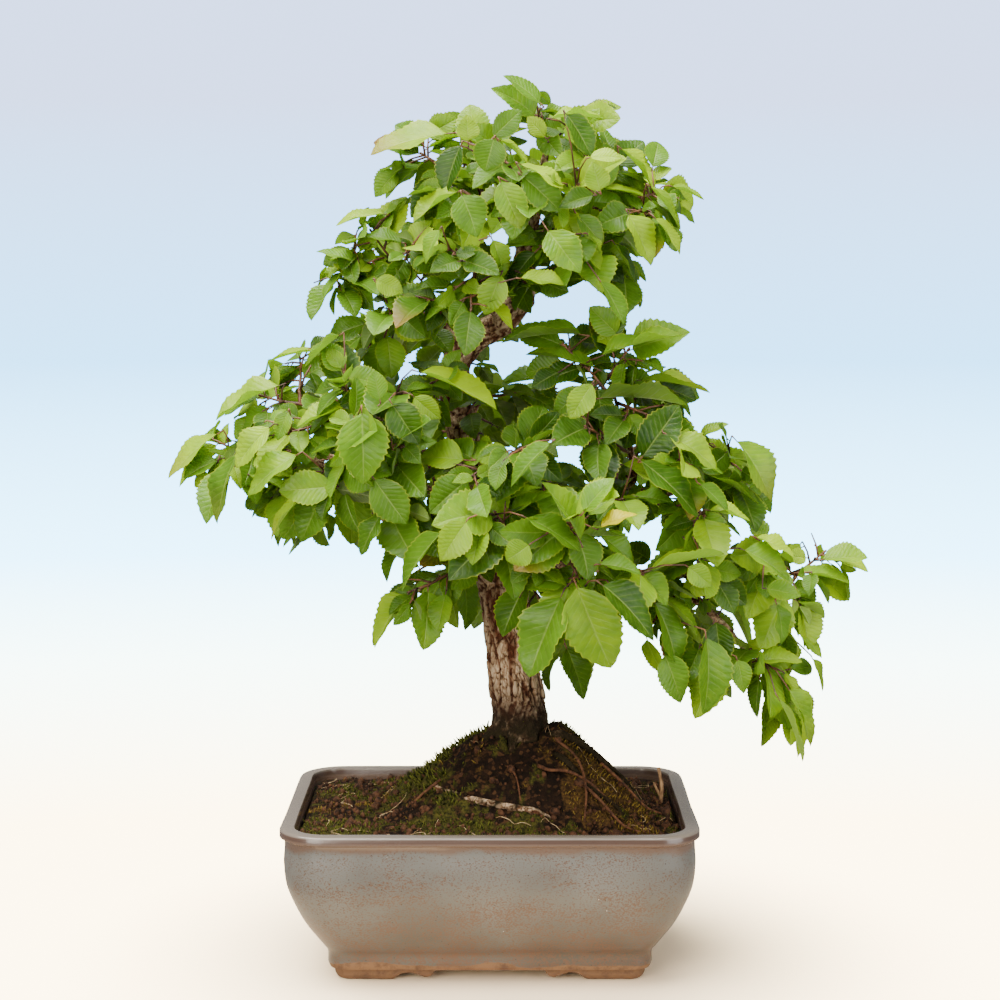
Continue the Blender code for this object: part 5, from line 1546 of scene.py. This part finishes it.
def placeCrumbs(surface, rng):
    places, tones = [], []
    smallest, rate, largest = soilCover["crumbSize"]
    for _ in range(soilCover["crumbs"]):
        point, normal = anywhere(surface, rng, "crumbField", "crumbCorner")
        if point is None or leftOut(point, rng, "crumbs"):
            continue
        size = min(largest, smallest + rng.expovariate(rate))
        scale = [size * rng.uniform(0.7, 1.2) for _ in range(3)]
        places.append(turned(point + normal * size * 0.2 * mm, normal, rng.uniform(0, 6.3), scale))
        tones.append(rng.random())
    return places, tones


def placeSpikes(surface, rng):
    places, tones = [], []
    left, right, above, taller = soilCover["tall"]
    for _ in range(soilCover["spikes"]):
        point, normal = anywhere(surface, rng, "spikeField", "spikeCorner")
        if point is None:
            continue
        spot = unplace(point)
        green, ochre = coverAt(spot)
        if max(green, ochre) < rng.uniform(0.25, 0.75):
            continue
        lean = normal + Vector((rng.gauss(0, 0.4), rng.gauss(0, 0.4), 0.3))
        size = rng.uniform(0.45, 1.15) * (0.6 + 0.5 * max(green, ochre))
        if left < spot.x < right and spot.z > above:
            size *= taller
        places.append(turned(point, lean, rng.uniform(0, 6.3), (size * 0.8, size * 0.8, size)))
        tones.append(rng.uniform(0, 0.45) + (0.0 if green > ochre else 0.55))
    return places, tones


def layFineRoots(surface, rng):
    # fine roots that wander over the soil
    routes = []
    wide, deep = soilCover["rootField"]
    edgeX, edgeY = soilCover["rootEdge"]
    for _ in range(soilCover["fineRoots"]):
        x, y = rng.uniform(-wide, wide), rng.uniform(-deep, deep)
        aim = rng.uniform(0, 6.3)
        start = onSoil(surface, x, y)[0]
        if start and leftOut(start, rng, "roots"):
            continue
        points = []
        for _ in range(rng.randint(4, 9)):
            point = onSoil(surface, x, y, rng.uniform(0.0, 0.9))[0]
            if point is None:
                break
            points.append(point / mm)
            aim += rng.gauss(0, 0.5)
            x += soilCover["rootStep"] * math.cos(aim)
            y += soilCover["rootStep"] * math.sin(aim)
        away = [point - potPlace for point in points]
        if len(points) > 2 and all(abs(a.x) < edgeX and abs(a.y) < edgeY for a in away):
            radius = rng.uniform(0.12, 0.3)
            route = smoothRoute(points, 1.3)
            routes.append([(point * mm, radius * (1 - 0.5 * step / len(route)))
                           for step, point in enumerate(route)])
    return routes


def layArchedRoots(surface):
    # a few larger roots that arch out of the soil
    routes = []
    for row in soilCover["rootRoutes"]:
        route = smoothRoute([onSoil(surface, x, y, lift)[0] / mm for x, y, lift, _ in row], 1.2)
        count = len(route) - 1
        thick, thin = row[0][3], row[-1][3]
        routes.append([(point * mm, (thick + (thin - thick) * step / count)
                        * (0.72 + 0.15 * noise.noise(point / 3)))
                       for step, point in enumerate(route)])
    return routes


def makeSoil(materials):
    bm = shapeSoil()
    surface = BVHTree.FromBMesh(bm)
    rng = random.Random("soil")
    crumb, spike = makeScraps(rng)
    scatter(bm, crumb, *placeCrumbs(surface, rng))
    places, tones = placeSpikes(surface, rng)
    scatter(bm, spike, places, tones)
    print("soil", len(bm.faces), "faces,", len(places), "moss spikes")
    addTubes(bm, layFineRoots(surface, rng), 4, 3)
    addTubes(bm, layArchedRoots(surface), 8, 4)
    return addPiece("soil_and_moss", bm, materials, ["soil"])


def makeDeadTwig(material):
    route = smoothRoute(deadTwig, 1.5)
    count = len(route) - 1
    twig = [(place(point), 1.25 - 0.45 * step / count + 0.12 * noise.noise(point / 2))
            for step, point in enumerate(route)]
    snag = [(place(point), radius) for point, radius in deadSnag]
    bm = bmesh.new()
    addTubes(bm, [twig, snag], 8)
    return addPiece("dead_twig_bark", bm, [material], ["dead_twig"])


def makeSoilMaterials():
    crumbs = makeGrained("soilCrumb", "#190E08", "#4E3220", 2.6, 0.85)
    moss, tree = newMaterial("cushionMoss")
    # living moss is yellow-green to deep green; the dried moss on the right is ochre
    tone = addNode(tree, "Attribute", {"attribute_name": "tone"}).outputs["Fac"]
    fresh = addNode(tree, "MapRange", {"From Min": 0.0, "From Max": 0.45, "Value": tone})
    old = addNode(tree, "MapRange", {"From Min": 0.55, "From Max": 1.0, "Value": tone})
    isOld = addNode(tree, "Math", {"operation": "GREATER_THAN", 1: 0.5, 0: tone})
    green = addNode(tree, "Mix", {"data_type": "RGBA", 6: linear("#181C08"), 7: linear("#55571D"),
                                  0: fresh})
    ochre = addNode(tree, "Mix", {"data_type": "RGBA", 6: linear("#3D2E10"), 7: linear("#80692E"),
                                  0: old})
    colour = addNode(tree, "Mix", {"data_type": "RGBA", 0: isOld, 6: green, 7: ochre})
    shader = addNode(tree, "BsdfPrincipled", {"Roughness": 0.8, "Specular IOR Level": 0.1,
                                              "Base Color": colour})
    addNode(tree, "OutputMaterial", {"Surface": shader})
    return [makeSoilMaterial(), crumbs, moss,
            makeGrained("strawRoot", "#5E4429", "#B49C78", 3.0, 0.7),
            makeGrained("surfaceRoot", "#28160D", "#5E3C26", 2.2, 0.75)]


studio = {
    # what the camera sees behind the tree, by the height of its gaze; the view mutes strong
    # colours, so these are stronger than the picture shows
    "backdrop": ((0.078, "#687692"), (-0.042, "#5590BA"), (-0.131, "#84CBF0"), (-0.180, "#D2EFE8"),
                 (-0.250, "#FFE6B4")),
    "backdropStrength": 12.0, "light": "#EFF0EE", "lightStrength": 0.5,
    "floor": "#FFE6C2", "floorWhole": 0.07, "floorEnd": 0.23,
    # name, place, size, power and colour
    "lamps": (("overhead", (-0.4, -0.2, 2.5), 2.2, 315, "#FFFDF4"),
              ("keyFront", (-0.7, -1.3, 0.55), 0.9, 34, "#FFF8EC"),
              ("fillRight", (1.1, -0.9, 0.5), 1.0, 22, "#FAF9F6")),
}


def makeStudio():
    scene = bpy.context.scene
    scene.world = bpy.data.worlds.new("paleRoom")
    scene.world.use_nodes = True
    tree = scene.world.node_tree
    tree.nodes.clear()
    gaze = addNode(tree, "TexCoord").outputs["Object"]
    rise = addNode(tree, "SeparateXYZ", {0: gaze}).outputs["Z"]
    stops = studio["backdrop"]
    colour = linear(stops[0][1])
    for (above, _), (below, second) in zip(stops, stops[1:]):
        share = addNode(tree, "MapRange", {"From Min": above, "From Max": below, "Value": rise})
        colour = addNode(tree, "Mix", {"data_type": "RGBA", 7: linear(second), 0: share, 6: colour})
    seen = addNode(tree, "Background", {"Strength": studio["backdropStrength"], "Color": colour})
    light = addNode(tree, "Background", {"Color": linear(studio["light"]),
                                         "Strength": studio["lightStrength"]})
    ray = addNode(tree, "LightPath").outputs["Is Camera Ray"]
    both = addNode(tree, "MixShader", {0: ray, 1: light, 2: seen})
    addNode(tree, "OutputWorld", {"Surface": both})
    bm = bmesh.new()
    bmesh.ops.create_circle(bm, cap_ends=True, segments=96, radius=studio["floorEnd"])
    mesh = meshOf(bm, "floor")
    floor = linked("floor", mesh)
    # the paper fades into the backdrop away from the pot
    material, tree = newMaterial("palePaper")
    spot = addNode(tree, "TexCoord").outputs["Object"]
    far = addNode(tree, "VectorMath", {"operation": "LENGTH", 0: spot}).outputs["Value"]
    gone = addNode(tree, "MapRange", {"interpolation_type": "SMOOTHSTEP",
                                      "From Min": studio["floorWhole"],
                                      "From Max": studio["floorEnd"], "Value": far})
    shader = addNode(tree, "BsdfPrincipled", {"Base Color": linear(studio["floor"]),
                                              "Roughness": 0.7})
    clear = addNode(tree, "BsdfTransparent")
    both = addNode(tree, "MixShader", {0: gone, 1: shader, 2: clear})
    addNode(tree, "OutputMaterial", {"Surface": both})
    mesh.materials.append(material)
    for name, at, size, power, colour in studio["lamps"]:
        lamp = bpy.data.lights.new(name, "AREA")
        lamp.size = size
        lamp.energy = power
        lamp.color = linear(colour)[:3]
        holder = linked(name, lamp)
        holder.location = at
        aim = Vector((0, 0, 0.2)) - Vector(at)
        holder.rotation_euler = aim.to_track_quat("-Z", "Y").to_euler()


makeStudio()
lines = WoodLines()
makeTrunk(makeBark(), lines)
makeSprays([makeLeaf("leafAbove", False), makeLeaf("leafBelow", True), makeTwigBark()], lines)
makePot(makeGlaze())
makeSoil(makeSoilMaterials())
makeDeadTwig(makeGrained("deadTwigBark", "#4A3222", "#9A7A58", 1.6, 0.85, (1, 1, 0.3)))
plasticMesh = makeGrained("plasticMesh", "#15171A", "#22252A", 2.0, 0.5)
for name in ("drain_screen_left", "drain_screen_right"):
    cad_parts[name].data.materials.clear()
    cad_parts[name].data.materials.append(plasticMesh)
